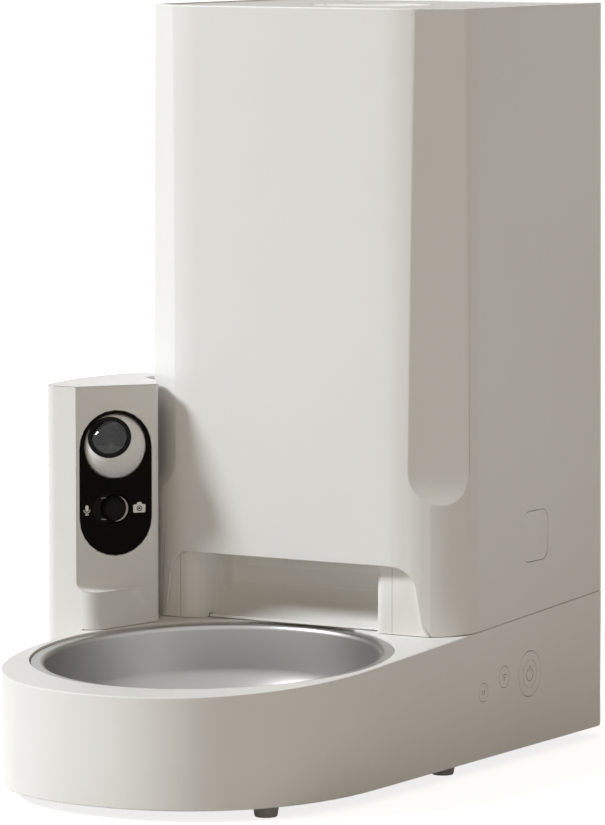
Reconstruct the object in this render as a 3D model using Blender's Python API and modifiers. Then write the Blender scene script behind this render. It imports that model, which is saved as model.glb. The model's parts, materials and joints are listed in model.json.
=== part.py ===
"""Pet feeder with a camera: a hopper on a base with a steel bowl, and a camera tower beside the bowl.

Metres, +Z up, the front towards -Y, resting on its feet at Z = 0. Places are worked out from the bowl's
centre, and the empty feeder_origin then moves everything so that the world's origin is the middle of the
footprint. The deck slopes down to the front, and what follows the deck is parented to deck_frame.
"""

import math

import bmesh
import bpy
from mathutils import Matrix, Vector

# Clearances and overruns
GAP = 0.0003
SLIDE_GAP = 0.0006
CUT = 0.004
MERGE_DISTANCE = 0.00001

# Bowl and the well that holds it
BOWL_RADIUS = 0.090
BOWL_DEPTH = 0.041
BOWL_SHEET = 0.001
BOWL_FLANGE = 0.0058
BOWL_FLOOR_INSET = 0.028
BOWL_FOOT_RADIUS = 0.016
BOWL_LIP = 0.0008
BOWL_WALL_LEAN_DEG = 20
RIM_SUNK = 0.0010
SEAT_WIDTH = 0.0034
WELL_DEPTH = 0.0452
WELL_WALL = 0.002

# Body seen from above, from the bowl's centre
SIDE_BORDER = 0.005
NOSE_BORDER = 0.022
HALF_WIDTH = BOWL_RADIUS + SIDE_BORDER
FRONT_REACH = BOWL_RADIUS + NOSE_BORDER
HOPPER_LAP = 0.016
HOPPER_LENGTH = 0.164
HOPPER_FRONT = BOWL_RADIUS - HOPPER_LAP
BACK_REACH = HOPPER_FRONT + HOPPER_LENGTH
NOSE_POWER_SHARE = 2.25
BACK_CORNER = 0.009
WALL = 0.0026
LEAST_RADIUS = 0.0004

# Deck and base
BASE_CLEAR = 0.0055
DECK_HEIGHT = 0.0655
DECK_RISE_SHARE = 0.0505
DECK_THICK = 0.0026
DECK_EDGE = 0.0009

# Bottom cover and feet
COVER_THICK = 0.0024
COVER_BOSS = 0.0035
COVER_POCKET = 0.0012
FOOT_RADIUS = 0.0065
FOOT_TIP_RADIUS = 0.0055
FOOT_FRONT_INSET = 0.0245
FOOT_FRONT_SHARE = 0.576
FOOT_MIDDLE_INSET = 0.012
FOOT_BEHIND_FRONT = 0.011
FOOT_BACK_INSET = 0.025
FOOT_FROM_BACK = 0.020

# Hopper
HOPPER_BOW = 0.0028
FRONT_CORNER = 0.026
FRONT_CORNER_ACROSS = 0.040
HOPPER_TOP = 0.383
HOPPER_WALL = 0.0026
TAPER_SHARE = 0.017
FACET_ANGLE_DEG = 37
FACET_DEPTH = 0.0034
FACET_END = 0.1521
FACET_RUNOUT = 0.040
FACET_INNER_END = 0.131
LEDGE_WIDTH = 0.0038
LEDGE_HEIGHT = 0.008
FUNNEL_SEAT = 0.0016

# Arch over the bowl
ARCH_INSET = 0.0225
ARCH_SPREAD = 0.0025
ARCH_HALF_WIDTH = HALF_WIDTH - ARCH_INSET
ARCH_TOP = 0.1046
ARCH_CORNER = 0.013
ARCH_FLARE = 0.0075
ARCH_REVEAL = 0.0083

# Funnel in the hopper
FUNNEL_TOP = 0.262
FUNNEL_FLANGE = 0.005
FUNNEL_SHEET = 0.002
OUTLET_HALF_X = 0.026
OUTLET_HALF_Y = 0.0145
OUTLET_CORNER = 0.005
OUTLET_TOP = 0.194

# Chute housing and the portion wheel
CHUTE_INSET = 0.024
CHUTE_HALF_WIDTH = HALF_WIDTH - CHUTE_INSET
CHUTE_LENGTH = 0.098
CHUTE_BACK = HOPPER_FRONT + CHUTE_LENGTH
CHUTE_TOP = 0.186
CHUTE_WALL = 0.0025
CHUTE_CORNER = 0.0035
FACE_LENGTH = 0.020
RECESS_HALF_WIDTH = 0.047
RECESS_LENGTH = 0.034
RECESS_BACK = HOPPER_FRONT + RECESS_LENGTH
RECESS_TOP = 0.106
WHEEL_SET_BACK = 0.033
WHEEL_Y = HOPPER_FRONT + WHEEL_SET_BACK
WHEEL_Z = 0.152
WHEEL_RADIUS = 0.030
WHEEL_WIDTH = 0.028
WHEEL_HUB = 0.010
WHEEL_BLADE = 0.003
WHEEL_BLADES = 6
WHEEL_CLEAR = 0.0015
CHUTE_LIP_LENGTH = 0.012
CHUTE_LIP = HOPPER_FRONT + CHUTE_LIP_LENGTH
SHAFT_RADIUS = 0.003
SHAFT_REACH = 0.0035

# Drive motor in the chute housing's back bay
GEARBOX_HALF_X = 0.023
GEARBOX_LENGTH = 0.026
GEARBOX_HALF_Z = 0.021
MOTOR_RADIUS = 0.012
MOTOR_LENGTH = 0.034

# Lid with its seal, desiccant box and twist knob
LID_THICK = 0.005
LID_SUNK = 0.0007
LID_EDGE = 0.0008
LID_SKIRT = 0.006
LID_SKIRT_WALL = 0.002
SEAL_THICK = 0.0014
KNOB_RADIUS = 0.031
KNOB_THICK = 0.0036
KNOB_BAR = 0.009
KNOB_STEM = 0.008
KNOB_STEM_LENGTH = 0.009
KNOB_DISH_RADIUS = 0.025
KNOB_DISH_DEPTH = 0.0026
BOX_RADIUS = 0.033
BOX_DEPTH = 0.016
BOX_SHEET = 0.0016

# Camera tower on the left of the bowl, seen from above
TOWER_OUT = 0.0285
TOWER_LEAD = 0.0464
TOWER_LENGTH = 0.0894
TOWER_LEFT = HALF_WIDTH + TOWER_OUT
TOWER_FRONT = HOPPER_FRONT - TOWER_LEAD
TOWER_BACK = TOWER_FRONT + TOWER_LENGTH
TOWER_TOP = 0.1908
TOWER_WALL = 0.003
TOWER_EDGE = 0.0009
TOWER_SWELL = 0.0053
TOWER_FRONT_X = TOWER_LEFT - TOWER_SWELL
TOWER_ROUND = 0.008
COLUMN_IN = 0.008
COLUMN_X = HALF_WIDTH - COLUMN_IN
COLUMN_ROUND = 0.012
FLANK_BACK = 0.0035
LENS_OUT = 0.0035
LENS_NEAR_X = HALF_WIDTH + LENS_OUT
LENS_WIDTH = 0.0413
LENS_ANGLE_DEG = 52
LENS_SHIFT = 0.0008
TOWER_GAP = 0.0013
LENS_FACE_END = 0.0915
LENS_RUNOUT = 0.005
DUCT_INSET = 0.009
DUCT_FROM_BACK = 0.017
DUCT_LEFT = TOWER_LEFT - DUCT_INSET
DUCT_BACK = TOWER_BACK - DUCT_FROM_BACK

# Camera panel, ball and its mechanism, in the lens face's own frame
PANEL_WIDTH = 0.0383
PANEL_LOW = 0.104
PANEL_HIGH = 0.178
PANEL_THICK = 0.0016
BALL_HEIGHT = 0.1597
BALL_RADIUS = 0.0172
BALL_SUNK = 0.0065
BALL_SHEET = 0.002
BALL_OPENING = 0.0168
BALL_PAN_DEG = 28
BALL_TILT_DEG = 24
BALL_BACK_HOLE = 0.0125
LENS_RADIUS = 0.0108
LENS_BACK = 0.006
LENS_GLASS_RADIUS = 0.0088
LENS_GLASS_DOME = 0.0026
LENS_GLASS_THICK = 0.002
CLEVIS_HALF = 0.0030
BRACKET_HALF = 0.0020
BRACKET_ARM = 0.0032
BRACKET_REACH = 0.0185
BRACKET_DROP = 0.0225
TILT_PIN_RADIUS = 0.0015
PAN_AXLE_RADIUS = 0.0022
PAN_AXLE_LENGTH = 0.006
PAN_MOTOR_RADIUS = 0.0075
PAN_MOTOR_LENGTH = 0.009
SWITCH_HEIGHT = 0.1279
SWITCH_RADIUS = 0.0071
SWITCH_TRAVEL = 0.005
SWITCH_PLATE = 0.0011
SWITCH_LAP = 0.0012
BOARD_THICK = 0.0016
CAMERA_BOARD_WIDTH = 0.026
CAMERA_BOARD_LOW = 0.0965
CAMERA_BOARD_HIGH = 0.1175
CHIP_HEIGHT = 0.0018

# Buttons on the right of the base: distance behind the bowl's centre, height, radius
POWER_Y = 0.154
POWER_Z = 0.0430
POWER_RADIUS = 0.0116
POWER_RING = 0.0075
FEED_Y = 0.127
FEED_Z = 0.0447
FEED_RADIUS = 0.0053
RESET_Y = 0.1055
RESET_Z = 0.0395
RESET_RADIUS = 0.0045
BUTTON_FLANGE = 0.0012
BUTTON_BACK = 0.0014
RING_WIDTH = 0.0006
RING_DEPTH = 0.0004

# Release buttons in the hopper's sides
RELEASE_Y = 0.160
RELEASE_Z = 0.1133
RELEASE_HALF_Y = 0.0132
RELEASE_HALF_Z = 0.0128
RELEASE_CORNER = 0.006
RELEASE_FINGER = 0.0022
RELEASE_FINGER_DROP = 0.024

# Boards and fittings in the base
BOARD_HALF_X = 0.048
BOARD_HALF_Y = 0.024
BOARD_FROM_BACK = 0.054
BOARD_Y = BACK_REACH - BOARD_FROM_BACK
BOARD_Z = 0.018
BOARD_CHIP_SHARES = ((-0.6, 0.16), (-0.1, 0.2), (0.45, 0.12))
SPEAKER_RADIUS = 0.018
SPEAKER_DEPTH = 0.011
SPEAKER_X = -0.055
SPEAKER_AHEAD = 0.062
SPEAKER_Y = BOARD_Y - SPEAKER_AHEAD
BASKET_SHARE = 0.8
INLET_X = 0.045
INLET_Z = 0.024
INLET_HALF_X = 0.0075
INLET_HALF_Z = 0.0055
INLET_DEPTH = 0.013
INLET_BORE = 0.0031
INLET_PIN = 0.0010

# How finely round shapes are cut
ARC_STEPS = 6
NOSE_STEPS = 36
ROUND_STEPS = 36
BALL_STEPS = 30
SMALL_STEPS = 18

PARTS = "pet_feeder"
CUTTERS = "cutters"


def deck_z(x, y):
    """Height of the sloping deck over a place in the plan."""
    return DECK_HEIGHT + DECK_RISE_SHARE * y


def above_deck(clearance):
    """A surface parallel to the deck, this far above it."""
    return lambda x, y: deck_z(x, y) + clearance


def level(height):
    return lambda x, y: height


# Collections, materials and objects

def clear_scene():
    for obj in list(bpy.data.objects):
        bpy.data.objects.remove(obj, do_unlink=True)


def collection(name):
    found = bpy.data.collections.get(name)
    if found is None:
        found = bpy.data.collections.new(name)
        bpy.context.scene.collection.children.link(found)
    return found


def material(name, colour, roughness, metallic=0.0, alpha=1.0):
    made = bpy.data.materials.new(name)
    made.use_nodes = True
    shader = made.node_tree.nodes["Principled BSDF"]
    shader.inputs["Base Color"].default_value = (*colour, 1.0)
    shader.inputs["Roughness"].default_value = roughness
    shader.inputs["Metallic"].default_value = metallic
    shader.inputs["Alpha"].default_value = alpha
    made.diffuse_color = (*colour, alpha)
    return made


def empty(name, parent=None, place=(0, 0, 0), turn=None):
    made = bpy.data.objects.new(name, None)
    collection(PARTS).objects.link(made)
    made.parent = parent
    made.location = place
    if turn is not None:
        made.rotation_euler = turn
    return made


def add(name, bm, parent, look=None, smooth_deg=35, place=(0, 0, 0)):
    """Makes a mesh object from bm. Without a look it is a cutter, which no render shows."""
    bmesh.ops.recalc_face_normals(bm, faces=bm.faces)
    mesh = bpy.data.meshes.new(name)
    bm.to_mesh(mesh)
    bm.free()
    made = bpy.data.objects.new(name, mesh)
    made.parent = parent
    made.location = place
    if look is None:
        collection(CUTTERS).objects.link(made)
        made.hide_render = True
        made.display_type = "WIRE"
    else:
        collection(PARTS).objects.link(made)
        mesh.materials.append(look)
        mesh.shade_smooth()
        mesh.set_sharp_from_angle(angle=math.radians(smooth_deg))
    return made


def boolean(target, tool, operation):
    made = target.modifiers.new(f"{operation.lower()} {tool.name}", "BOOLEAN")
    made.operation = operation
    made.object = tool
    made.solver = "EXACT"


def cut(target, *tools):
    for tool in tools:
        boolean(target, tool, "DIFFERENCE")


def join(target, *tools):
    for tool in tools:
        boolean(target, tool, "UNION")


def bevel(target, width, segments=2, angle_deg=40):
    made = target.modifiers.new("rounded edges", "BEVEL")
    made.width = width
    made.segments = segments
    made.limit_method = "ANGLE"
    made.angle_limit = math.radians(angle_deg)


# Outlines in the plan, as lists of points that run anticlockwise

def arc(centre, radius, start_deg, end_deg, steps=ARC_STEPS):
    """Points along an arc, both ends included."""
    points = []
    for step in range(steps + 1):
        angle = math.radians(start_deg + (end_deg - start_deg) * step / steps)
        points.append((centre[0] + radius * math.cos(angle), centre[1] + radius * math.sin(angle)))
    return points


def circle(radius, steps=ROUND_STEPS, centre=(0, 0)):
    return arc(centre, radius, 0, 360 - 360 / steps, steps - 1)


def rounded(corners, inset=0.0, steps=ARC_STEPS):
    """A polygon of (x, y, radius) corners, moved inwards by inset and then rounded."""
    count = len(corners)
    moved = []
    for index in range(count):
        before, here, after = (Vector(corners[(index + k) % count][:2]) for k in (-1, 0, 1))
        into = (here - before).normalized()
        out = (after - here).normalized()
        inward_in = Vector((-into.y, into.x))
        inward_out = Vector((-out.y, out.x))
        across = into.x * out.y - into.y * out.x
        # The mitre that keeps both edges at the inset
        mitre = (inward_in + inward_out) / (1 + inward_in.dot(inward_out))
        radius = max(corners[index][2] - math.copysign(inset, across), LEAST_RADIUS)
        moved.append((here + mitre * inset, into, out, across, radius))
    points = []
    for here, into, out, across, radius in moved:
        turn = math.acos(max(-1, min(1, into.dot(out))))
        if turn < math.radians(2):
            points.append(tuple(here))
            continue
        reach = radius * math.tan(turn / 2)
        side = math.copysign(1, across)
        centre = here - into * reach + Vector((-into.y, into.x)) * side * radius
        first = here - into * reach - centre
        for step in range(steps + 1):
            angle = side * turn * step / steps
            spun = Matrix.Rotation(angle, 2) @ first
            points.append(tuple(centre + spun))
    return points


def base_outline(inset=0.0):
    """Straight sides, a superellipse round the bowl at the front and round corners at the back."""
    half = HALF_WIDTH - inset
    reach = FRONT_REACH - inset
    power = 2 / NOSE_POWER_SHARE
    points = []
    for step in range(NOSE_STEPS + 1):
        angle = math.pi * step / NOSE_STEPS
        along = -math.cos(angle)
        front = math.sin(angle)
        points.append((half * math.copysign(abs(along) ** power, along), -reach * max(front, 0) ** power))
    back = BACK_REACH - inset
    radius = BACK_CORNER - inset
    points += arc((half - radius, back - radius), radius, 0, 90)
    points += arc((radius - half, back - radius), radius, 90, 180)
    return points


def hopper_front(inset, start, across):
    """The hopper's front from its left side to its right, with elliptical corners this wide across."""
    corner = FRONT_CORNER - inset
    wide = across - inset
    half = HALF_WIDTH - inset
    left = [(wide - half + x * wide, start + corner + y * corner)
            for x, y in arc((0, 0), 1, 180, 270, 2 * ARC_STEPS)]
    middle = [((wide - half) * (1 - 2 * step / ARC_STEPS), start) for step in range(1, ARC_STEPS)]
    return left + middle + [(-x, y) for x, y in reversed(left)]


def hopper_outline(inset=0.0, front=None, facets=False):
    """Rounded rectangle with a bowed front. Facets cut its front corners off as on the upper hopper."""
    start = HOPPER_FRONT + inset if front is None else front
    half = HALF_WIDTH - inset
    radius = BACK_CORNER - inset
    back = BACK_REACH - inset
    points = hopper_front(inset, start, FRONT_CORNER_ACROSS if front is None else FRONT_CORNER)
    points += arc((half - radius, back - radius), radius, 0, 90)
    points += arc((radius - half, back - radius), radius, 90, 180)
    middle = (start + back) / 2
    bowed = []
    for x, y in points:
        lift = HOPPER_BOW * (1 - (x / half) ** 2) if y < middle and front is None else 0
        bowed.append((x, y - lift))
    if not facets:
        return bowed
    for side in (-1, 1):
        outward = facet_normal(side)
        bowed = clipped(bowed, outward, outward.dot(facet_middle(side)) - inset)
    return bowed


def facet_normal(side):
    angle = math.radians(FACET_ANGLE_DEG)
    return Vector((side * math.sin(angle), -math.cos(angle)))


def corner_crest(side):
    """Where a plane parallel to the facet touches the hopper's front corner, its centre and its reach."""
    outward = facet_normal(side)
    centre = Vector((side * (HALF_WIDTH - FRONT_CORNER_ACROSS), HOPPER_FRONT + FRONT_CORNER))
    reach = Vector((outward.x * FRONT_CORNER_ACROSS, outward.y * FRONT_CORNER)).length
    crest = Vector((outward.x * FRONT_CORNER_ACROSS ** 2, outward.y * FRONT_CORNER ** 2)) / reach
    return centre + crest, centre, reach


def facet_middle(side):
    """Middle of the chord that a facet cuts off the round corner."""
    crest, centre, reach = corner_crest(side)
    return crest + (centre - crest) * FACET_DEPTH / reach


def clipped(points, outward, reach):
    """The part of an outline whose distance along outward is at most reach."""
    kept = []
    for index, point in enumerate(points):
        here = Vector(point)
        after = Vector(points[(index + 1) % len(points)])
        here_in = outward.dot(here) <= reach
        after_in = outward.dot(after) <= reach
        if here_in:
            kept.append(tuple(here))
        if here_in != after_in:
            share = (reach - outward.dot(here)) / outward.dot(after - here)
            kept.append(tuple(here + (after - here) * share))
    return kept


def box_outline(low, high):
    return [(low[0], low[1]), (high[0], low[1]), (high[0], high[1]), (low[0], high[1])]


def stadium(half_length, radius, steps=ARC_STEPS):
    """Two half circles joined by straight sides, long in x."""
    points = arc((half_length, 0), radius, -90, 90, 2 * steps)
    return points + arc((-half_length, 0), radius, 90, 270, 2 * steps)


# Solids as bmeshes

def prism(outline, low, high):
    """Extrudes an outline in the plan. low and high are heights or surfaces over the plan."""
    low = low if callable(low) else level(low)
    high = high if callable(high) else level(high)
    bm = bmesh.new()
    floor = bm.faces.new([bm.verts.new((x, y, 0)) for x, y in outline])
    raised = bmesh.ops.extrude_face_region(bm, geom=[floor])["geom"]
    top = {vert for vert in raised if isinstance(vert, bmesh.types.BMVert)}
    for vert in bm.verts:
        surface = high if vert in top else low
        vert.co.z = surface(vert.co.x, vert.co.y)
    return bm


def swung(bm, matrix):
    bmesh.ops.transform(bm, matrix=matrix, verts=bm.verts)
    return bm


def side_prism(outline, low, high):
    """Extrudes an outline of (y, z) points along X, from low to high."""
    return swung(prism(outline, low, high), Matrix(((0, 0, 1, 0), (1, 0, 0, 0), (0, 1, 0, 0), (0, 0, 0, 1))))


def front_prism(outline, low, high):
    """Extrudes an outline of (x, z) points along Y, from low to high."""
    return swung(prism(outline, low, high), Matrix(((1, 0, 0, 0), (0, 0, 1, 0), (0, 1, 0, 0), (0, 0, 0, 1))))


def cylinder(radius, low, high, centre=(0, 0), steps=SMALL_STEPS, tip=None):
    """A primitive cylinder along Z, or a cone where tip gives the radius of its upper end."""
    bm = bmesh.new()
    bmesh.ops.create_cone(bm, cap_ends=True, segments=steps, radius1=radius,
                          radius2=radius if tip is None else tip, depth=high - low)
    return swung(bm, Matrix.Translation((centre[0], centre[1], (low + high) / 2)))


def along_y(bm, x, z):
    """Lays a cylinder made along Z along Y instead, with its axis through x and z."""
    return swung(bm, Matrix.Translation((x, 0, z)) @ Matrix.Rotation(math.radians(-90), 4, "X"))


def along_x(bm, y, z):
    """Lays a cylinder made along Z along X instead, with its axis through y and z."""
    return swung(bm, Matrix.Translation((0, y, z)) @ Matrix.Rotation(math.radians(90), 4, "Y"))


def sphere(radius, steps=ROUND_STEPS):
    bm = bmesh.new()
    bmesh.ops.create_uvsphere(bm, u_segments=steps, v_segments=steps // 2, radius=radius)
    return bm


def tapered(bm):
    """Narrows what belongs to the hopper towards its top, by the moulding's draft."""
    middle = (HOPPER_FRONT + BACK_REACH) / 2
    for vert in bm.verts:
        share = 1 - TAPER_SHARE * (vert.co.z - DECK_HEIGHT) / HOPPER_TOP
        vert.co.x *= share
        vert.co.y = middle + (vert.co.y - middle) * share
    return bm


def turned(name, profile, parent, look, steps=ROUND_STEPS, place=(0, 0, 0)):
    """A closed profile of (radius, height) points turned about Z by a Screw modifier."""
    bm = bmesh.new()
    verts = [bm.verts.new((radius, 0, height)) for radius, height in profile]
    for first, second in zip(verts, verts[1:]):
        bm.edges.new((first, second))
    if profile[0][0] > 0:
        bm.edges.new((verts[-1], verts[0]))
    made = add(name, bm, parent, look, place=place)
    screw = made.modifiers.new("turned", "SCREW")
    screw.steps = steps
    screw.render_steps = steps
    screw.use_merge_vertices = True
    screw.merge_threshold = MERGE_DISTANCE
    screw.use_smooth_shade = True
    return made


def loft(rings):
    """Joins rings of equally many points, and the last ring to the first, into one closed wall."""
    bm = bmesh.new()
    made = [[bm.verts.new(point) for point in ring] for ring in rings]
    for ring, after in zip(made, made[1:] + made[:1]):
        for index in range(len(ring)):
            other = (index + 1) % len(ring)
            bm.faces.new((ring[index], ring[other], after[other], after[index]))
    return bm


def rays(outline, centre, steps=ROUND_STEPS):
    """Where rays from centre at equal angles meet an outline, so that unlike outlines can be lofted."""
    hits = []
    for step in range(steps):
        angle = 2 * math.pi * (step + 0.5) / steps
        ray = Vector((math.cos(angle), math.sin(angle)))
        for index, point in enumerate(outline):
            start = Vector(point) - Vector(centre)
            edge = Vector(outline[(index + 1) % len(outline)]) - Vector(point)
            across = ray.x * edge.y - ray.y * edge.x
            if across == 0:
                continue
            along = (start.x * edge.y - start.y * edge.x) / across
            share = (start.x * ray.y - start.y * ray.x) / across
            if along > 0 and 0 <= share < 1:
                hits.append((centre[0] + ray.x * along, centre[1] + ray.y * along))
                break
    return hits


# Base

def base_housing(parent, deck, look):
    made = add("base_housing", prism(base_outline(), BASE_CLEAR, deck_z), parent, look)
    bevel(made, DECK_EDGE)
    inside = prism(base_outline(WALL), BASE_CLEAR - CUT, above_deck(-DECK_THICK))
    cut(made, add("base_inside", inside, parent))
    well_radius = BOWL_RADIUS - SEAT_WIDTH
    seat_depth = RIM_SUNK + BOWL_SHEET + GAP
    cup = cylinder(well_radius + WELL_WALL, -WELL_DEPTH - WELL_WALL, -DECK_THICK / 2, steps=ROUND_STEPS)
    under_seat = cylinder(BOWL_RADIUS + SLIDE_GAP + WALL, -seat_depth - WELL_WALL, -DECK_THICK / 2,
                          steps=ROUND_STEPS)
    join(made, add("well_cup", cup, deck), add("under_seat", under_seat, deck))
    seat = cylinder(BOWL_RADIUS + SLIDE_GAP, -seat_depth, CUT, steps=2 * ROUND_STEPS)
    cut(made, add("bowl_seat", seat, deck))
    cut(made, add("bowl_well", cylinder(well_radius, -WELL_DEPTH, CUT, steps=ROUND_STEPS), deck))
    for name, y, z, radius in (
        ("power", POWER_Y, POWER_Z, POWER_RADIUS),
        ("feed", FEED_Y, FEED_Z, FEED_RADIUS),
        ("reset", RESET_Y, RESET_Z, RESET_RADIUS),
    ):
        hole = cylinder(radius + GAP, HALF_WIDTH - WALL - CUT, HALF_WIDTH + CUT, steps=ROUND_STEPS)
        cut(made, add(f"{name}_hole", along_x(hole, y, z), parent))
    inlet = front_prism(
        box_outline((INLET_X - INLET_HALF_X - GAP, INLET_Z - INLET_HALF_Z - GAP),
                    (INLET_X + INLET_HALF_X + GAP, INLET_Z + INLET_HALF_Z + GAP)),
        BACK_REACH - WALL - CUT, BACK_REACH + CUT)
    cut(made, add("inlet_hole", inlet, parent))
    return made


def feet_places():
    places = {}
    for row, inset, y in (
        ("front", FOOT_FRONT_INSET, -FRONT_REACH * FOOT_FRONT_SHARE),
        ("middle", FOOT_MIDDLE_INSET, HOPPER_FRONT + FOOT_BEHIND_FRONT),
        ("back", FOOT_BACK_INSET, BACK_REACH - FOOT_FROM_BACK),
    ):
        places[f"foot_{row}_left"] = (inset - HALF_WIDTH, y)
        places[f"foot_{row}_right"] = (HALF_WIDTH - inset, y)
    return places


def bottom_cover(parent, look):
    outline = base_outline(WALL + GAP)
    made = add("bottom_cover", prism(outline, BASE_CLEAR, BASE_CLEAR + COVER_THICK), parent, look)
    top = BASE_CLEAR + COVER_THICK
    for side in (-1, 1):
        for along in (-1, 1):
            place = (side * (BOARD_HALF_X - COVER_BOSS), BOARD_Y + along * (BOARD_HALF_Y - COVER_BOSS))
            boss = cylinder(COVER_BOSS, BASE_CLEAR + COVER_THICK / 2, BOARD_Z - GAP, place)
            join(made, add(f"board_boss_{side}_{along}", boss, parent))
    for name, place in feet_places().items():
        socket = cylinder(FOOT_RADIUS + GAP, BASE_CLEAR - CUT, BASE_CLEAR + COVER_POCKET, place)
        cut(made, add(f"{name}_socket", socket, parent))
    spread = SPEAKER_RADIUS / 3
    for step in (-1, 0, 1):
        slot = swung(prism(stadium(spread, COVER_THICK / 2), BASE_CLEAR - CUT, top + CUT),
                     Matrix.Translation((SPEAKER_X, SPEAKER_Y + step * spread, 0)))
        cut(made, add(f"speaker_slot_{step}", slot, parent))
    return made


def feet(parent, look):
    for name, place in feet_places().items():
        foot = cylinder(FOOT_TIP_RADIUS, 0, BASE_CLEAR + COVER_POCKET - GAP, place, tip=FOOT_RADIUS)
        add(name, foot, parent, look)


def bowl(deck, look):
    """Steel bowl: a flat rim, a rounded shoulder, a curved wall and a flat floor, turned from one sheet."""
    throat = BOWL_RADIUS - BOWL_FLANGE
    rim = -RIM_SUNK
    floor = rim - BOWL_DEPTH
    bend = BOWL_DEPTH / 2
    flat = BOWL_RADIUS - BOWL_FLOOR_INSET
    wall_run = throat - flat - bend / 2
    outer = [(BOWL_RADIUS, rim - BOWL_SHEET), (throat + BOWL_SHEET, rim - BOWL_SHEET)]
    outer += [(throat - BOWL_SHEET, rim - 3 * BOWL_SHEET), (throat - wall_run / 2, floor / 2)]
    outer += arc_profile((flat, floor + bend), bend)
    outer += [(BOWL_FOOT_RADIUS, floor), (0, floor)]
    inner = [(0, floor + BOWL_SHEET), (flat, floor + BOWL_SHEET)]
    inner += list(reversed(arc_profile((flat, floor + bend), bend - BOWL_SHEET)))[1:]
    inner += [(throat - wall_run / 2 - BOWL_SHEET, floor / 2)]
    inner += [(throat - 2 * BOWL_SHEET, rim - 2 * BOWL_SHEET), (throat, rim)]
    inner += [(BOWL_RADIUS - BOWL_LIP, rim)]
    return turned("food_bowl", outer + inner, deck, look, steps=ROUND_STEPS)


def arc_profile(centre, radius):
    """The bowl's lower wall, from where it leans outwards down to the floor."""
    return arc(centre, radius, -BOWL_WALL_LEAN_DEG, -90)


def push_button(name, y, z, radius, parent, look, ring=None):
    """A round button flush with the base's side, held by a flange behind the wall."""
    frame = empty(f"{name}_axis", parent, (HALF_WIDTH, y, z))
    made = add(name, along_x(cylinder(radius, -WALL - BUTTON_BACK, 0, steps=ROUND_STEPS), 0, 0), frame, look)
    flange = cylinder(radius + BUTTON_FLANGE, -WALL - BUTTON_BACK - GAP, -WALL - GAP, steps=ROUND_STEPS)
    join(made, add(f"{name}_flange", along_x(flange, 0, 0), frame))
    if ring is not None:
        groove = loft([
            [(0, *point) for point in circle(ring)],
            [(CUT, *point) for point in circle(ring)],
            [(CUT, *point) for point in circle(ring - RING_WIDTH)],
            [(0, *point) for point in circle(ring - RING_WIDTH)],
        ])
        cut(made, add(f"{name}_groove", swung(groove, Matrix.Translation((-RING_DEPTH, 0, 0))), frame))
    return made


def power_inlet(parent, look):
    frame = empty("power_inlet_axis", parent, (INLET_X, BACK_REACH, INLET_Z))
    outline = box_outline((-INLET_HALF_X, -INLET_HALF_Z), (INLET_HALF_X, INLET_HALF_Z))
    made = add("power_inlet", front_prism(outline, -INLET_DEPTH, 0), frame, look)
    bore = along_y(cylinder(INLET_BORE, -INLET_DEPTH + WALL, CUT), 0, 0)
    cut(made, add("inlet_bore", bore, frame))
    join(made, add("inlet_pin", along_y(cylinder(INLET_PIN, -INLET_DEPTH + WALL / 2, -WALL), 0, 0), frame))
    return made


def main_board(parent, look):
    outline = box_outline((-BOARD_HALF_X, BOARD_Y - BOARD_HALF_Y), (BOARD_HALF_X, BOARD_Y + BOARD_HALF_Y))
    made = add("main_board", prism(outline, BOARD_Z, BOARD_Z + BOARD_THICK), parent, look)
    for index, (x_share, size_share) in enumerate(BOARD_CHIP_SHARES):
        half = BOARD_HALF_X * size_share
        middle = BOARD_HALF_X * x_share
        chip = prism(box_outline((middle - half, BOARD_Y - half), (middle + half, BOARD_Y + half)),
                     BOARD_Z + BOARD_THICK / 2, BOARD_Z + BOARD_THICK + CHIP_HEIGHT)
        join(made, add(f"chip_{index}", chip, parent))
    return made


def speaker(parent, look):
    low = BASE_CLEAR + COVER_THICK + GAP
    rim = low + SPEAKER_DEPTH / 3
    made = add("speaker", cylinder(SPEAKER_RADIUS, low, rim, (SPEAKER_X, SPEAKER_Y)), parent, look)
    place = (SPEAKER_X, SPEAKER_Y)
    basket = cylinder(SPEAKER_RADIUS * BASKET_SHARE, rim - GAP, low + SPEAKER_DEPTH * 2 / 3, place,
                      tip=SPEAKER_RADIUS / 2)
    magnet = cylinder(SPEAKER_RADIUS / 2, low + SPEAKER_DEPTH / 2, low + SPEAKER_DEPTH, place)
    join(made, add("speaker_basket", basket, parent), add("speaker_magnet", magnet, parent))
    return made


# Chute housing, portion wheel and motor

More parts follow.
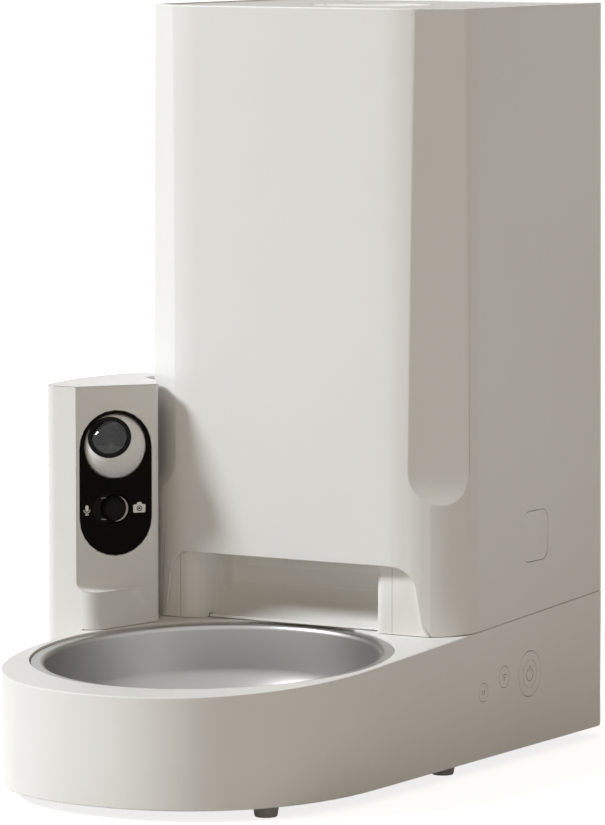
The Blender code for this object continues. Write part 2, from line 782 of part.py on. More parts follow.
def chute_housing(parent, look):
    """Housing of the portion wheel, with a face plate that closes the space behind the hopper's arch."""
    front = HOPPER_FRONT + ARCH_REVEAL + GAP
    half = CHUTE_HALF_WIDTH
    inner = front + CHUTE_WALL
    corners = [
        (-half, front + GAP, CHUTE_CORNER), (half, front + GAP, CHUTE_CORNER),
        (half, CHUTE_BACK, CHUTE_CORNER), (-half, CHUTE_BACK, CHUTE_CORNER),
    ]
    made = add("chute_housing", prism(rounded(corners, steps=3), above_deck(GAP), CHUTE_TOP), parent, look)
    face = tapered(prism(face_outline(front), above_deck(GAP), ARCH_TOP + CHUTE_WALL))
    join(made, add("chute_face", face, parent))
    side = RECESS_HALF_WIDTH
    recess = rounded([
        (-side, front - CUT, LEAST_RADIUS), (side, front - CUT, LEAST_RADIUS),
        (side, RECESS_BACK, CHUTE_CORNER), (-side, RECESS_BACK, CHUTE_CORNER)], steps=3)
    cut(made, add("recess", prism(recess, above_deck(-CUT), RECESS_TOP), parent))
    near = WHEEL_Y - WHEEL_WIDTH / 2 - WHEEL_CLEAR
    far = WHEEL_Y + WHEEL_WIDTH / 2 + WHEEL_CLEAR
    chamber = cylinder(WHEEL_RADIUS + WHEEL_CLEAR, near, far, steps=ROUND_STEPS)
    cut(made, add("wheel_chamber", along_y(chamber, 0, WHEEL_Z), parent))
    inlet = box_outline((-OUTLET_HALF_X, near + GAP), (OUTLET_HALF_X, far - GAP))
    cut(made, add("chamber_mouth", prism(inlet, WHEEL_Z, CHUTE_TOP + CUT), parent))
    drop = WHEEL_Z - WHEEL_RADIUS
    slide = [
        (far - GAP, WHEEL_Z - WHEEL_RADIUS / 2), (near + GAP, WHEEL_Z - WHEEL_RADIUS / 2),
        (CHUTE_LIP, drop - CHUTE_WALL), (CHUTE_LIP, RECESS_TOP - CUT),
        (RECESS_BACK - GAP, RECESS_TOP - CUT), (RECESS_BACK - GAP, RECESS_TOP),
        (far - GAP, drop + CHUTE_WALL),
    ]
    cut(made, add("drop_slide", side_prism(slide, -OUTLET_HALF_X, OUTLET_HALF_X), parent))
    wheel_side = WHEEL_RADIUS + WHEEL_CLEAR + CHUTE_WALL
    recess_side = RECESS_HALF_WIDTH + CHUTE_WALL
    for side in (-1, 1):
        upper = sorted((side * wheel_side, side * (half - CHUTE_WALL)))
        lower = sorted((side * recess_side, side * (half - CHUTE_WALL)))
        outline = box_outline((lower[0], inner), (lower[1], far))
        pocket = prism(outline, above_deck(-CUT), CHUTE_TOP - CHUTE_WALL)
        cut(made, add(f"side_pocket_{side}", pocket, parent))
        outline = box_outline((upper[0], inner), (upper[1], far))
        pocket = prism(outline, RECESS_TOP + CHUTE_WALL, CHUTE_TOP - CHUTE_WALL)
        cut(made, add(f"upper_pocket_{side}", pocket, parent))
    room = half - CHUTE_WALL
    bay = box_outline((-room, far + 2 * CHUTE_WALL), (room, CHUTE_BACK - CHUTE_WALL))
    cut(made, add("motor_bay", prism(bay, above_deck(-CUT), CHUTE_TOP - CHUTE_WALL), parent))
    bore = along_y(cylinder(SHAFT_RADIUS + GAP, near - SHAFT_REACH - GAP, far + 3 * CHUTE_WALL), 0, WHEEL_Z)
    cut(made, add("shaft_bore", bore, parent))
    return made


def face_outline(front):
    """Plan of the face plate, which follows the inside of the hopper's front a gap behind it."""
    outer = hopper_front(HOPPER_WALL + GAP, front, FRONT_CORNER)
    inner = hopper_front(HOPPER_WALL + GAP + CHUTE_WALL, front + CHUTE_WALL, FRONT_CORNER)
    back = front + FACE_LENGTH
    kept = [point for point in outer if point[1] < back]
    return kept + [point for point in reversed(inner) if point[1] < back]


def portion_wheel(axis, look):
    """Hub with equal blades, turning about Y in the chute housing's chamber."""
    outline = []
    half_blade = WHEEL_BLADE / 2
    foot = math.degrees(math.asin(half_blade / WHEEL_HUB))
    tip = math.degrees(math.asin(half_blade / WHEEL_RADIUS))
    pitch = 360 / WHEEL_BLADES
    for blade in range(WHEEL_BLADES):
        middle = pitch * blade
        outline += arc((0, 0), WHEEL_HUB, middle - foot, middle - foot, 1)[:1]
        outline += arc((0, 0), WHEEL_RADIUS, middle - tip, middle + tip, 2)
        outline += arc((0, 0), WHEEL_HUB, middle + foot, middle + pitch - foot, 4)[:-1]
    made = add("portion_wheel", front_prism(outline, -WHEEL_WIDTH / 2, WHEEL_WIDTH / 2), axis, look)
    bore = along_y(cylinder(SHAFT_RADIUS + GAP, -WHEEL_WIDTH, WHEEL_WIDTH), 0, 0)
    cut(made, add("wheel_bore", bore, axis))
    return made


def wheel_shaft(axis, look):
    near = -WHEEL_WIDTH / 2 - WHEEL_CLEAR - SHAFT_REACH
    far = WHEEL_WIDTH / 2 + WHEEL_CLEAR + 2 * CHUTE_WALL + SHAFT_REACH
    return add("wheel_shaft", along_y(cylinder(SHAFT_RADIUS, near, far), 0, 0), axis, look)


def drive_motor(parent, look):
    start = WHEEL_Y + WHEEL_WIDTH / 2 + WHEEL_CLEAR + 2 * CHUTE_WALL + GAP
    frame = empty("drive_motor_axis", parent, (0, start, WHEEL_Z))
    half_x = GEARBOX_HALF_X
    half_z = GEARBOX_HALF_Z
    outline = rounded([
        (-half_x, -half_z, CHUTE_CORNER), (half_x, -half_z, CHUTE_CORNER),
        (half_x, half_z, CHUTE_CORNER), (-half_x, half_z, CHUTE_CORNER)], steps=3)
    made = add("drive_motor", front_prism(outline, 0, GEARBOX_LENGTH), frame, look)
    can = cylinder(MOTOR_RADIUS, GEARBOX_HALF_X - GAP, GEARBOX_HALF_X + MOTOR_LENGTH)
    join(made, add("motor_can", along_x(can, GEARBOX_LENGTH / 2, 0), frame))
    socket = along_y(cylinder(SHAFT_RADIUS + GAP, -CUT, SHAFT_REACH + GAP), 0, 0)
    cut(made, add("motor_socket", socket, frame))
    return made


# Hopper, funnel and lid

def runout_prism(end, radius, half_width, depth, top):
    """Cuts a flat face, facing +Y, down to end, where it runs out of the body in an arc this deep."""
    profile = [(0, end)]
    turn = math.acos(max(0, 1 - depth / radius))
    for step in range(1, 2 * ARC_STEPS + 1):
        angle = turn * step / (2 * ARC_STEPS)
        profile.append((radius * (1 - math.cos(angle)), end - radius * math.sin(angle)))
    profile += [(radius + depth, profile[-1][1]), (radius + depth, top), (0, top)]
    return side_prism(profile, -half_width, half_width)


def facet_cutter(side, parent):
    """Cuts the facet off one front corner of the hopper."""
    bm = runout_prism(FACET_END, FACET_RUNOUT, FRONT_CORNER, 2 * FACET_DEPTH, HOPPER_TOP + CUT)
    outward = facet_normal(side)
    turn = math.atan2(outward.y, outward.x) - math.pi / 2
    place = Matrix.Translation((*facet_middle(side), 0)) @ Matrix.Rotation(turn, 4, "Z")
    return add(f"facet_{side}", swung(bm, place), parent)


def arch_cutter(parent):
    """Round-topped opening whose legs spread a little and flare outwards where they meet the deck."""
    half = ARCH_HALF_WIDTH
    foot = deck_z(0, HOPPER_FRONT)
    right = arc((half - ARCH_CORNER, ARCH_TOP - ARCH_CORNER), ARCH_CORNER, 90, 0)
    toe = half + ARCH_SPREAD + ARCH_FLARE
    right += arc((toe, foot + ARCH_FLARE), ARCH_FLARE, 180, 270) + [(toe, foot - CUT)]
    outline = right + [(-x, z) for x, z in reversed(right)]
    reach = HOPPER_FRONT + ARCH_REVEAL + CUT
    return add("arch", front_prism(outline, HOPPER_FRONT - 2 * CUT, reach), parent)


def hopper_shell(parent, look):
    made = add("hopper_shell", tapered(prism(hopper_outline(), above_deck(GAP), HOPPER_TOP)), parent, look)
    cut(made, facet_cutter(-1, parent), facet_cutter(1, parent))
    ledge_top = HOPPER_TOP - LID_SUNK - LID_THICK - SEAL_THICK - 2 * GAP
    ledge_low = ledge_top - LEDGE_HEIGHT
    seat = FUNNEL_TOP - FUNNEL_FLANGE - GAP
    wall = HOPPER_WALL
    levels = (
        ("hopper_inside_low", hopper_outline(wall, HOPPER_FRONT + ARCH_REVEAL), 0, FACET_INNER_END + GAP),
        ("hopper_inside_mid", hopper_outline(wall + FUNNEL_SEAT, facets=True), FACET_INNER_END, seat + GAP),
        ("hopper_inside_high", hopper_outline(wall, facets=True), seat, ledge_low),
        ("hopper_neck", hopper_outline(wall + LEDGE_WIDTH, facets=True), ledge_low - GAP, ledge_top + GAP),
        ("hopper_mouth", hopper_outline(wall, facets=True), ledge_top, HOPPER_TOP + CUT),
    )
    for name, outline, low, high in levels:
        cut(made, add(name, tapered(prism(outline, low, high)), parent))
    cut(made, arch_cutter(parent))
    for side in (-1, 1):
        hole = rounded(release_corners(GAP))
        reach = sorted((side * (HALF_WIDTH + CUT), side * (HALF_WIDTH - HOPPER_WALL - CUT)))
        cut(made, add(f"release_hole_{side}", side_prism(hole, reach[0], reach[1]), parent))
    return made


def release_corners(grow):
    half_y = RELEASE_HALF_Y + grow
    half_z = RELEASE_HALF_Z + grow
    radius = RELEASE_CORNER + grow
    return [
        (RELEASE_Y - half_y, RELEASE_Z - half_z, radius), (RELEASE_Y + half_y, RELEASE_Z - half_z, radius),
        (RELEASE_Y + half_y, RELEASE_Z + half_z, radius), (RELEASE_Y - half_y, RELEASE_Z + half_z, radius),
    ]


def release_button(name, side, parent, look):
    """Cap flush with the hopper's side, a rim behind the wall, and a finger that reaches down inside."""
    share = 1 - TAPER_SHARE * (RELEASE_Z - DECK_HEIGHT) / HOPPER_TOP
    face = HALF_WIDTH * share
    inner = face - HOPPER_WALL - GAP - GAP
    frame = empty(f"{name}_axis", parent, (side * face, 0, 0))

    def slab(low, high, grow):
        ends = sorted((side * (low - face), side * (high - face)))
        return side_prism(rounded(release_corners(grow)), ends[0], ends[1])

    made = add(name, slab(inner - BUTTON_BACK, face - GAP, 0), frame, look)
    join(made, add(f"{name}_rim", slab(inner - BUTTON_BACK, inner, BUTTON_FLANGE), frame))
    low_z = RELEASE_Z - RELEASE_HALF_Z - RELEASE_FINGER_DROP
    deep = inner - BUTTON_BACK - RELEASE_FINGER - face
    ends = sorted((side * deep, side * (inner - BUTTON_BACK / 2 - face)))
    finger = side_prism(
        box_outline((RELEASE_Y - RELEASE_HALF_Y / 2, low_z), (RELEASE_Y + RELEASE_HALF_Y / 2, RELEASE_Z)),
        ends[0], ends[1])
    join(made, add(f"{name}_finger", finger, frame))
    return made


def food_funnel(parent, look):
    """Funnel lofted from the hopper's inner outline down to the rectangular outlet over the wheel."""
    centre = (0, WHEEL_Y)
    seat = FUNNEL_TOP - FUNNEL_FLANGE
    at_brim = HOPPER_WALL + GAP
    at_neck = HOPPER_WALL + FUNNEL_SEAT + 2 * GAP
    brim = rays(hopper_outline(at_brim, facets=True), centre)
    brim_inner = rays(hopper_outline(at_brim + FUNNEL_SHEET, facets=True), centre)
    neck = rays(hopper_outline(at_neck, facets=True), centre)
    neck_inner = rays(hopper_outline(at_neck + FUNNEL_SHEET, facets=True), centre)

    def outlet(grow):
        half_x = OUTLET_HALF_X + grow
        half_y = OUTLET_HALF_Y + grow
        return rays(rounded([
            (-half_x, WHEEL_Y - half_y, OUTLET_CORNER), (half_x, WHEEL_Y - half_y, OUTLET_CORNER),
            (half_x, WHEEL_Y + half_y, OUTLET_CORNER), (-half_x, WHEEL_Y + half_y, OUTLET_CORNER)]), centre)

    def at(points, height):
        return [(x, y, height) for x, y in points]

    spout = outlet(0)
    spout_inner = outlet(-FUNNEL_SHEET)
    rings = [
        at(brim, FUNNEL_TOP), at(brim, seat), at(neck, seat - GAP / 2), at(neck, seat - FUNNEL_SHEET),
        at(spout, OUTLET_TOP), at(spout, CHUTE_TOP + SLIDE_GAP), at(spout_inner, CHUTE_TOP + SLIDE_GAP),
        at(spout_inner, OUTLET_TOP + FUNNEL_SHEET / 2), at(neck_inner, seat - GAP / 2),
        at(brim_inner, seat + FUNNEL_SHEET), at(brim_inner, FUNNEL_TOP),
    ]
    return add("food_funnel", tapered(loft(rings)), parent, look)


def lid_heights():
    top = HOPPER_TOP - LID_SUNK
    return top, top - LID_THICK


def lid(parent, axis, look):
    """Flat lid inset in the hopper's rim, with a skirt inside the mouth and a dish for the knob."""
    top, low = lid_heights()
    outline = hopper_outline(HOPPER_WALL + SLIDE_GAP, facets=True)
    made = add("lid", tapered(prism(outline, low, top)), parent, look)
    bevel(made, LID_EDGE, angle_deg=60)
    inset = HOPPER_WALL + LEDGE_WIDTH + SLIDE_GAP
    skirt = tapered(prism(hopper_outline(inset, facets=True), low - LID_SKIRT, low + GAP))
    join(made, add("lid_skirt", skirt, parent))
    hollow = hopper_outline(inset + LID_SKIRT_WALL, facets=True)
    cut(made, add("lid_skirt_hollow", tapered(prism(hollow, low - LID_SKIRT - CUT, low)), parent))
    dish = cylinder(KNOB_RADIUS + SLIDE_GAP, top - KNOB_THICK - GAP, top + CUT, steps=ROUND_STEPS)
    cut(made, add("knob_seat", dish, axis))
    cut(made, add("knob_bore", cylinder(KNOB_STEM + SLIDE_GAP, low - CUT, top), axis))
    return made


def lid_seal(parent, look):
    """Silicone ring round the lid's skirt, between the lid and the hopper's ledge."""
    high = lid_heights()[1] - GAP
    low = high - SEAL_THICK
    outer = hopper_outline(HOPPER_WALL + SLIDE_GAP, facets=True)
    made = add("lid_seal", tapered(prism(outer, low, high)), parent, look)
    inner = hopper_outline(HOPPER_WALL + LEDGE_WIDTH + GAP, facets=True)
    cut(made, add("seal_inside", tapered(prism(inner, low - CUT, high + CUT)), parent))
    return made


def seal_centre():
    return (0, (HOPPER_FRONT + BACK_REACH) / 2)


def lid_knob(axis, look):
    """Round twist knob with a grip bar standing in a shallow dish, flush with the lid."""
    top = lid_heights()[0]
    made = add("lid_knob", cylinder(KNOB_RADIUS, top - KNOB_THICK, top, steps=ROUND_STEPS), axis, look)
    bevel(made, LID_EDGE)
    low = top - KNOB_DISH_DEPTH
    for side in (-1, 1):
        flat = Vector((0, side))
        half = clipped(circle(KNOB_DISH_RADIUS), -flat, -KNOB_BAR / 2)
        cut(made, add(f"knob_dish_{side}", prism(half, low, top + CUT), axis))
    stem = cylinder(KNOB_STEM, top - KNOB_THICK - KNOB_STEM_LENGTH, top - KNOB_THICK + GAP)
    join(made, add("knob_stem", stem, axis))
    return made


def desiccant_box(axis, look):
    """Cup under the lid for the drying sachet, with its mouth upwards against the lid."""
    high = lid_heights()[1] - GAP
    outer = BOX_RADIUS
    inner = BOX_RADIUS - BOX_SHEET
    low = high - BOX_DEPTH
    floor = low + BOX_SHEET
    profile = [(0, floor), (inner, floor), (inner, high), (outer, high), (outer, low), (0, low)]
    return turned("desiccant_box", profile, axis, look)


# Camera tower

def lens_axis_angle():
    return math.radians(LENS_ANGLE_DEG)


def lens_far():
    angle = lens_axis_angle()
    return (-LENS_NEAR_X + LENS_WIDTH * math.cos(angle), TOWER_FRONT + LENS_WIDTH * math.sin(angle))


def tower_corners():
    """Plan of the tower: flat front, round corner by the bowl, flanks along the hopper, round back."""
    far = Vector(lens_far())
    side = HALF_WIDTH + TOWER_GAP
    outward = facet_normal(-1)
    reach = outward.dot(corner_crest(-1)[0]) + TOWER_GAP

    def on_flank(x):
        return (x, (reach - outward.x * x) / outward.y)

    corner = Vector((-COLUMN_X, TOWER_FRONT))
    end = far + (far - corner).normalized() * FLANK_BACK
    return [
        (-TOWER_FRONT_X, TOWER_FRONT, TOWER_ROUND),
        (*corner, COLUMN_ROUND),
        (*end, TOWER_WALL),
        (*on_flank(-side + FRONT_CORNER / 2), TOWER_WALL),
        (*on_flank(-side), TOWER_WALL),
        (-side, TOWER_BACK, TOWER_WALL),
        (-TOWER_LEFT + TOWER_WALL * 2, TOWER_BACK - TOWER_WALL * 4, FRONT_CORNER / 2),
        (-TOWER_LEFT, TOWER_FRONT + LENS_WIDTH, FRONT_CORNER),
    ]


def lens_normal():
    angle = lens_axis_angle()
    return Vector((math.sin(angle), -math.cos(angle)))


def lens_frame(parent):
    """Frame on the lens face at the panel's middle: x along it, -y out of it, z up from the ground."""
    far_x, far_y = lens_far()
    angle = lens_axis_angle()
    middle = ((far_x - LENS_NEAR_X) / 2 + LENS_SHIFT * math.cos(angle),
              (far_y + TOWER_FRONT) / 2 + LENS_SHIFT * math.sin(angle), 0)
    return empty("lens_frame", parent, middle, (0, 0, angle))


def duct_outline(inset):
    """The tower's cable duct, which stays outside the base all the way down."""
    side = HALF_WIDTH + TOWER_GAP + TOWER_WALL
    front = TOWER_FRONT + 2 * TOWER_WALL
    return rounded([
        (-DUCT_LEFT, front, TOWER_WALL), (-side, front, TOWER_WALL),
        (-side, DUCT_BACK, TOWER_WALL), (-DUCT_LEFT, DUCT_BACK, TOWER_WALL)], inset, steps=3)


def camera_tower(parent, lens, look):
    made = add("camera_tower", prism(rounded(tower_corners()), BASE_CLEAR, TOWER_TOP), parent, look)
    face = runout_prism(LENS_FACE_END, LENS_RUNOUT, LENS_WIDTH, LENS_WIDTH, TOWER_TOP + CUT)
    cut(made, add("lens_face", swung(face, Matrix.Rotation(math.pi, 4, "Z")), lens))
    bevel(made, TOWER_EDGE)
    body = prism(base_outline(-GAP), 0, above_deck(GAP))
    cut(made, add("base_clearance", body, parent))
    outward = lens_normal()
    behind_face = outward.dot(Vector((-LENS_NEAR_X, TOWER_FRONT))) - TOWER_WALL
    head = clipped(rounded(tower_corners(), TOWER_WALL), outward, behind_face)
    low = LENS_FACE_END
    cut(made, add("head_inside", prism(head, low, TOWER_TOP - TOWER_WALL), parent))
    duct = prism(duct_outline(0), BASE_CLEAR - CUT, low + CUT)
    cut(made, add("cable_duct", duct, parent))
    pocket = panel_outline(GAP)
    cut(made, add("panel_pocket", front_prism(pocket, -CUT, PANEL_THICK + GAP), lens))
    hole = along_y(cylinder(BALL_OPENING + 2 * GAP, -CUT, 2 * TOWER_WALL, steps=ROUND_STEPS), 0, BALL_HEIGHT)
    cut(made, add("ball_hole", hole, lens))
    outline = stadium(1.5 * SWITCH_TRAVEL, SWITCH_RADIUS + SWITCH_LAP + GAP)
    place = Matrix.Translation((-SWITCH_TRAVEL / 2, 0, SWITCH_HEIGHT))
    slot = swung(front_prism(outline, 0, 2 * TOWER_WALL), place)
    cut(made, add("switch_pocket", slot, lens))
    return made


def tower_bottom_cover(parent, look):
    plate = prism(duct_outline(GAP), BASE_CLEAR, BASE_CLEAR + COVER_THICK)
    return add("tower_bottom_cover", plate, parent, look)


def panel_outline(grow):
    """Upright stadium on the lens face, as (x, z) points."""
    radius = PANEL_WIDTH / 2 + grow
    half = (PANEL_HIGH - PANEL_LOW - PANEL_WIDTH) / 2
    middle = (PANEL_HIGH + PANEL_LOW) / 2
    return [(-z, middle + x) for x, z in stadium(half, radius)]


def camera_panel(lens, look):
    made = add("camera_panel", front_prism(panel_outline(0), 0, PANEL_THICK), lens, look)
    hole = along_y(cylinder(BALL_OPENING, -CUT, CUT, steps=ROUND_STEPS), 0, BALL_HEIGHT)
    cut(made, add("panel_ball_hole", hole, lens))
    slot = swung(front_prism(stadium(SWITCH_TRAVEL / 2, SWITCH_RADIUS + GAP), -CUT, CUT),
                 Matrix.Translation((-SWITCH_TRAVEL / 2, 0, SWITCH_HEIGHT)))
    cut(made, add("panel_slot", slot, lens))
    return made


def privacy_slider(lens, look):
    """Round slide button in the panel's slot, with a longer plate behind that keeps the slot covered."""
    frame = empty("privacy_slider_axis", lens, (0, 0, SWITCH_HEIGHT))
    face = along_y(cylinder(SWITCH_RADIUS, 0, PANEL_THICK + 2 * GAP, steps=ROUND_STEPS), 0, 0)
    made = add("privacy_slider", face, frame, look)
    back = PANEL_THICK + GAP
    plate = front_prism(stadium(SWITCH_TRAVEL, SWITCH_RADIUS + SWITCH_LAP), back, back + SWITCH_PLATE)
    join(made, add("slider_plate", plate, frame))
    return made


def ball_frames(lens):
    """Pan and tilt frames in the ball's centre. In the tilt frame the lens looks along -y."""
    pan_turn = math.radians(BALL_PAN_DEG) - lens_axis_angle()
    pan = empty("camera_pan_axis", lens, (0, BALL_SUNK, BALL_HEIGHT), (0, 0, pan_turn))
    tilt = empty("camera_tilt_axis", pan, (0, 0, 0), (-math.radians(BALL_TILT_DEG), 0, 0))
    return pan, tilt


def lens_depth():
    """How far in front of the ball's centre its flat lens seat lies."""
    return math.sqrt(BALL_RADIUS ** 2 - (LENS_RADIUS + GAP) ** 2)


def camera_ball(tilt, look):
    shell = swung(sphere(BALL_RADIUS, BALL_STEPS), Matrix.Rotation(math.pi / 2, 4, "X"))
    made = add("camera_ball", shell, tilt, look)
    cut(made, add("ball_inside", sphere(BALL_RADIUS - BALL_SHEET, SMALL_STEPS), tilt))
    front = along_y(cylinder(LENS_RADIUS + GAP, -2 * BALL_RADIUS, 0, steps=ROUND_STEPS), 0, 0)
    cut(made, add("lens_hole", front, tilt))
    back = along_y(cylinder(BALL_BACK_HOLE, 0, 2 * BALL_RADIUS), 0, 0)
    cut(made, add("ball_back_hole", back, tilt))
    return made


def lens_barrel(tilt, look):
    """Barrel in the ball's front with a clevis behind for the pan bracket's pin."""
    depth = lens_depth()
    made = add("lens_barrel", along_y(cylinder(LENS_RADIUS, -depth, LENS_BACK, steps=ROUND_STEPS), 0, 0),
               tilt, look)
    seat = cylinder(LENS_GLASS_RADIUS + GAP, -depth - CUT, -depth + LENS_GLASS_THICK, steps=ROUND_STEPS)
    cut(made, add("glass_seat", along_y(seat, 0, 0), tilt))
    tall = 2 * LENS_RADIUS
    outline = box_outline((-2 * BRACKET_ARM, -tall), (LENS_BACK + CUT, tall))
    slot = side_prism(outline, -CLEVIS_HALF, CLEVIS_HALF)
    cut(made, add("clevis_slot", slot, tilt))
    bore = along_x(cylinder(TILT_PIN_RADIUS + GAP, -2 * LENS_RADIUS, 2 * LENS_RADIUS), 0, 0)
    cut(made, add("clevis_bore", bore, tilt))
    return made


def lens_glass(tilt, look):
    """Domed glass, turned about the lens axis."""
    frame = empty("lens_glass_axis", tilt, (0, -lens_depth(), 0), (math.pi / 2, 0, 0))
    low = -LENS_GLASS_THICK + GAP
    profile = []
    for step in range(ARC_STEPS):
        share = step / ARC_STEPS
        profile.append((LENS_GLASS_RADIUS * share, GAP + LENS_GLASS_DOME * (1 - share ** 2)))
    profile += [(LENS_GLASS_RADIUS, GAP), (LENS_GLASS_RADIUS, low), (0, low)]
    return turned("lens_glass", profile, frame, look, steps=SMALL_STEPS)


def pan_bracket(pan, look):
    """C-shaped arm: an axle under the ball, an arm round its back and a tongue with the tilt pin."""
    arm = BRACKET_ARM
    reach = BRACKET_REACH
    drop = BRACKET_DROP
    near = -PAN_AXLE_RADIUS
    outline = [
        (-arm, -arm), (reach, -arm), (reach, -drop + arm), (near, -drop + arm), (near, -drop - arm),
        (reach + 2 * arm, -drop - arm), (reach + 2 * arm, arm), (-arm, arm),
    ]
    made = add("pan_bracket", side_prism(outline, -BRACKET_HALF, BRACKET_HALF), pan, look)
    axle = cylinder(PAN_AXLE_RADIUS, -drop - arm - PAN_AXLE_LENGTH, -drop)
    pin = along_x(cylinder(TILT_PIN_RADIUS, -LENS_RADIUS + GAP, LENS_RADIUS - GAP), 0, 0)
    join(made, add("pan_axle", axle, pan), add("tilt_pin", pin, pan))
    return made


def pan_motor(lens, look):
    high = BALL_HEIGHT - BRACKET_DROP - BRACKET_ARM - GAP
    frame = empty("pan_motor_axis", lens, (0, BALL_SUNK, 0))
    low = high - PAN_MOTOR_LENGTH
    made = add("pan_motor", cylinder(PAN_MOTOR_RADIUS, low, high), frame, look)
    clear = front_prism(box_outline((-LENS_WIDTH, low - CUT), (LENS_WIDTH, high + CUT)),
                        -LENS_WIDTH, -BALL_SUNK + TOWER_WALL + GAP)
    cut(made, add("motor_flat", clear, frame))
    socket = cylinder(PAN_AXLE_RADIUS + GAP, high - PAN_AXLE_LENGTH - GAP, high + CUT)
    cut(made, add("pan_motor_socket", socket, frame))
    return made


def camera_board(lens, look):
    half = CAMERA_BOARD_WIDTH / 2
    outline = box_outline((-half, CAMERA_BOARD_LOW), (half, CAMERA_BOARD_HIGH))
    near = TOWER_WALL + GAP
    made = add("camera_board", front_prism(outline, near, near + BOARD_THICK), lens, look)
    chip_half = CAMERA_BOARD_WIDTH / 5
    middle = (CAMERA_BOARD_LOW + CAMERA_BOARD_HIGH) / 2
    chip = front_prism(box_outline((-chip_half, middle - chip_half), (chip_half, middle + chip_half)),
                       near + BOARD_THICK / 2, near + BOARD_THICK + CHIP_HEIGHT)
    join(made, add("camera_chip", chip, lens))
    return made


def looks():
    white = (0.80, 0.79, 0.76)
    return {
        "shell": material("warm_white_plastic", white, 0.45),
        "chute": material("chute_plastic", (0.78, 0.76, 0.72), 0.5),
        "steel": material("brushed_steel", (0.55, 0.54, 0.52), 0.28, metallic=1.0),
        "rubber": material("grey_rubber", (0.30, 0.29, 0.28), 0.8),
        "panel": material("black_gloss_plastic", (0.010, 0.008, 0.006), 0.12),
        "lens": material("lens_black_plastic", (0.02, 0.02, 0.02), 0.3),
        "glass": material("lens_glass", (0.05, 0.06, 0.07), 0.05),
        "silicone": material("clear_silicone", (0.70, 0.69, 0.66), 0.6),
        "board": material("circuit_board", (0.02, 0.12, 0.06), 0.5),
        "motor": material("motor_metal", (0.45, 0.45, 0.46), 0.35, metallic=1.0),
        "inner": material("grey_plastic", (0.20, 0.20, 0.20), 0.55),
    }


def build():
    clear_scene()
    look = looks()
    leftmost = min(x for x, y in rounded(tower_corners()))
    middle = ((leftmost + HALF_WIDTH) / 2, (BACK_REACH - FRONT_REACH) / 2, 0)
    origin = empty("feeder_origin", None, -Vector(middle))
    deck = empty("deck_frame", origin, (0, 0, DECK_HEIGHT), (math.atan(DECK_RISE_SHARE), 0, 0))

    base_housing(origin, deck, look["shell"])
    bottom_cover(origin, look["inner"])
    feet(origin, look["rubber"])
    bowl(deck, look["steel"])
    push_button("power_button", POWER_Y, POWER_Z, POWER_RADIUS, origin, look["shell"], POWER_RING)
    push_button("feed_button", FEED_Y, FEED_Z, FEED_RADIUS, origin, look["shell"])
    push_button("reset_button", RESET_Y, RESET_Z, RESET_RADIUS, origin, look["shell"])
    power_inlet(origin, look["inner"])
    main_board(origin, look["board"])
    speaker(origin, look["inner"])

    chute_housing(origin, look["chute"])
    wheel_axis = empty("portion_wheel_axis", origin, (0, WHEEL_Y, WHEEL_Z))
    portion_wheel(wheel_axis, look["silicone"])
    wheel_shaft(wheel_axis, look["motor"])
    drive_motor(origin, look["motor"])

    hopper_shell(origin, look["shell"])
    release_button("release_button_left", -1, origin, look["shell"])
    release_button("release_button_right", 1, origin, look["shell"])
    food_funnel(origin, look["chute"])
    knob_axis = empty("lid_knob_axis", origin, (*seal_centre(), 0))
    lid(origin, knob_axis, look["shell"])
    lid_seal(origin, look["silicone"])
    lid_knob(knob_axis, look["shell"])
    desiccant_box(knob_axis, look["chute"])

    lens = lens_frame(origin)
    camera_tower(origin, lens, look["shell"])
    tower_bottom_cover(origin, look["inner"])
    camera_panel(lens, look["panel"])
    privacy_slider(lens, look["panel"])
    pan, tilt = ball_frames(lens)
    camera_ball(tilt, look["shell"])
    lens_barrel(tilt, look["lens"])
    lens_glass(tilt, look["glass"])
    pan_bracket(pan, look["inner"])
    pan_motor(lens, look["motor"])
    camera_board(lens, look["board"])


build()
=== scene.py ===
"""Dresses the pet feeder with camera: finishes, rounded edges, the camera's optics and the small fittings.

Metres, +Z up, the bowl towards -Y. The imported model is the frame, and every piece here rides on one of
its bodies.
"""

from __future__ import annotations

import json
import logging
import math
from dataclasses import dataclass
from enum import Enum
from typing import Any, Iterable, Sequence

import bmesh
import bpy
from mathutils import Matrix, Vector

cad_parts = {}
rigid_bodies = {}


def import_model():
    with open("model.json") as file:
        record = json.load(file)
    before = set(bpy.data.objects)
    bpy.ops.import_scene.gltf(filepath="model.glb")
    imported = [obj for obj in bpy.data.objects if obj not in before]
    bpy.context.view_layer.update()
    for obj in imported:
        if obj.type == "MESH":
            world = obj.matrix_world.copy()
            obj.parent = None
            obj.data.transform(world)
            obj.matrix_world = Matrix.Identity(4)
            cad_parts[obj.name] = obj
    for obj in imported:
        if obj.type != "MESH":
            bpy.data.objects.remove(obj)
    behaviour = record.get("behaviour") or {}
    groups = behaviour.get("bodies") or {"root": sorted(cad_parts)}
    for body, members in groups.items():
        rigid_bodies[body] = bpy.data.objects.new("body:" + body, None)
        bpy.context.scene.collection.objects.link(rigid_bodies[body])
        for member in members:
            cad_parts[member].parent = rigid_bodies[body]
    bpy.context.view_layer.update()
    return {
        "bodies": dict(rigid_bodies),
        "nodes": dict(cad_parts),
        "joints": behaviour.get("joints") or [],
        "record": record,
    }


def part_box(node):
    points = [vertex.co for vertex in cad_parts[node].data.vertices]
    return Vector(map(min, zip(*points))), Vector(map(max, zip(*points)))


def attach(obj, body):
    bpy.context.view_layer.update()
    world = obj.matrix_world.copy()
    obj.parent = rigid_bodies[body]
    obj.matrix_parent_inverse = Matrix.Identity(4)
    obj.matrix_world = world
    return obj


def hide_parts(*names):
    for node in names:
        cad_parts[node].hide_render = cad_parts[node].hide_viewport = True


LOG = logging.getLogger("pet_feeder")

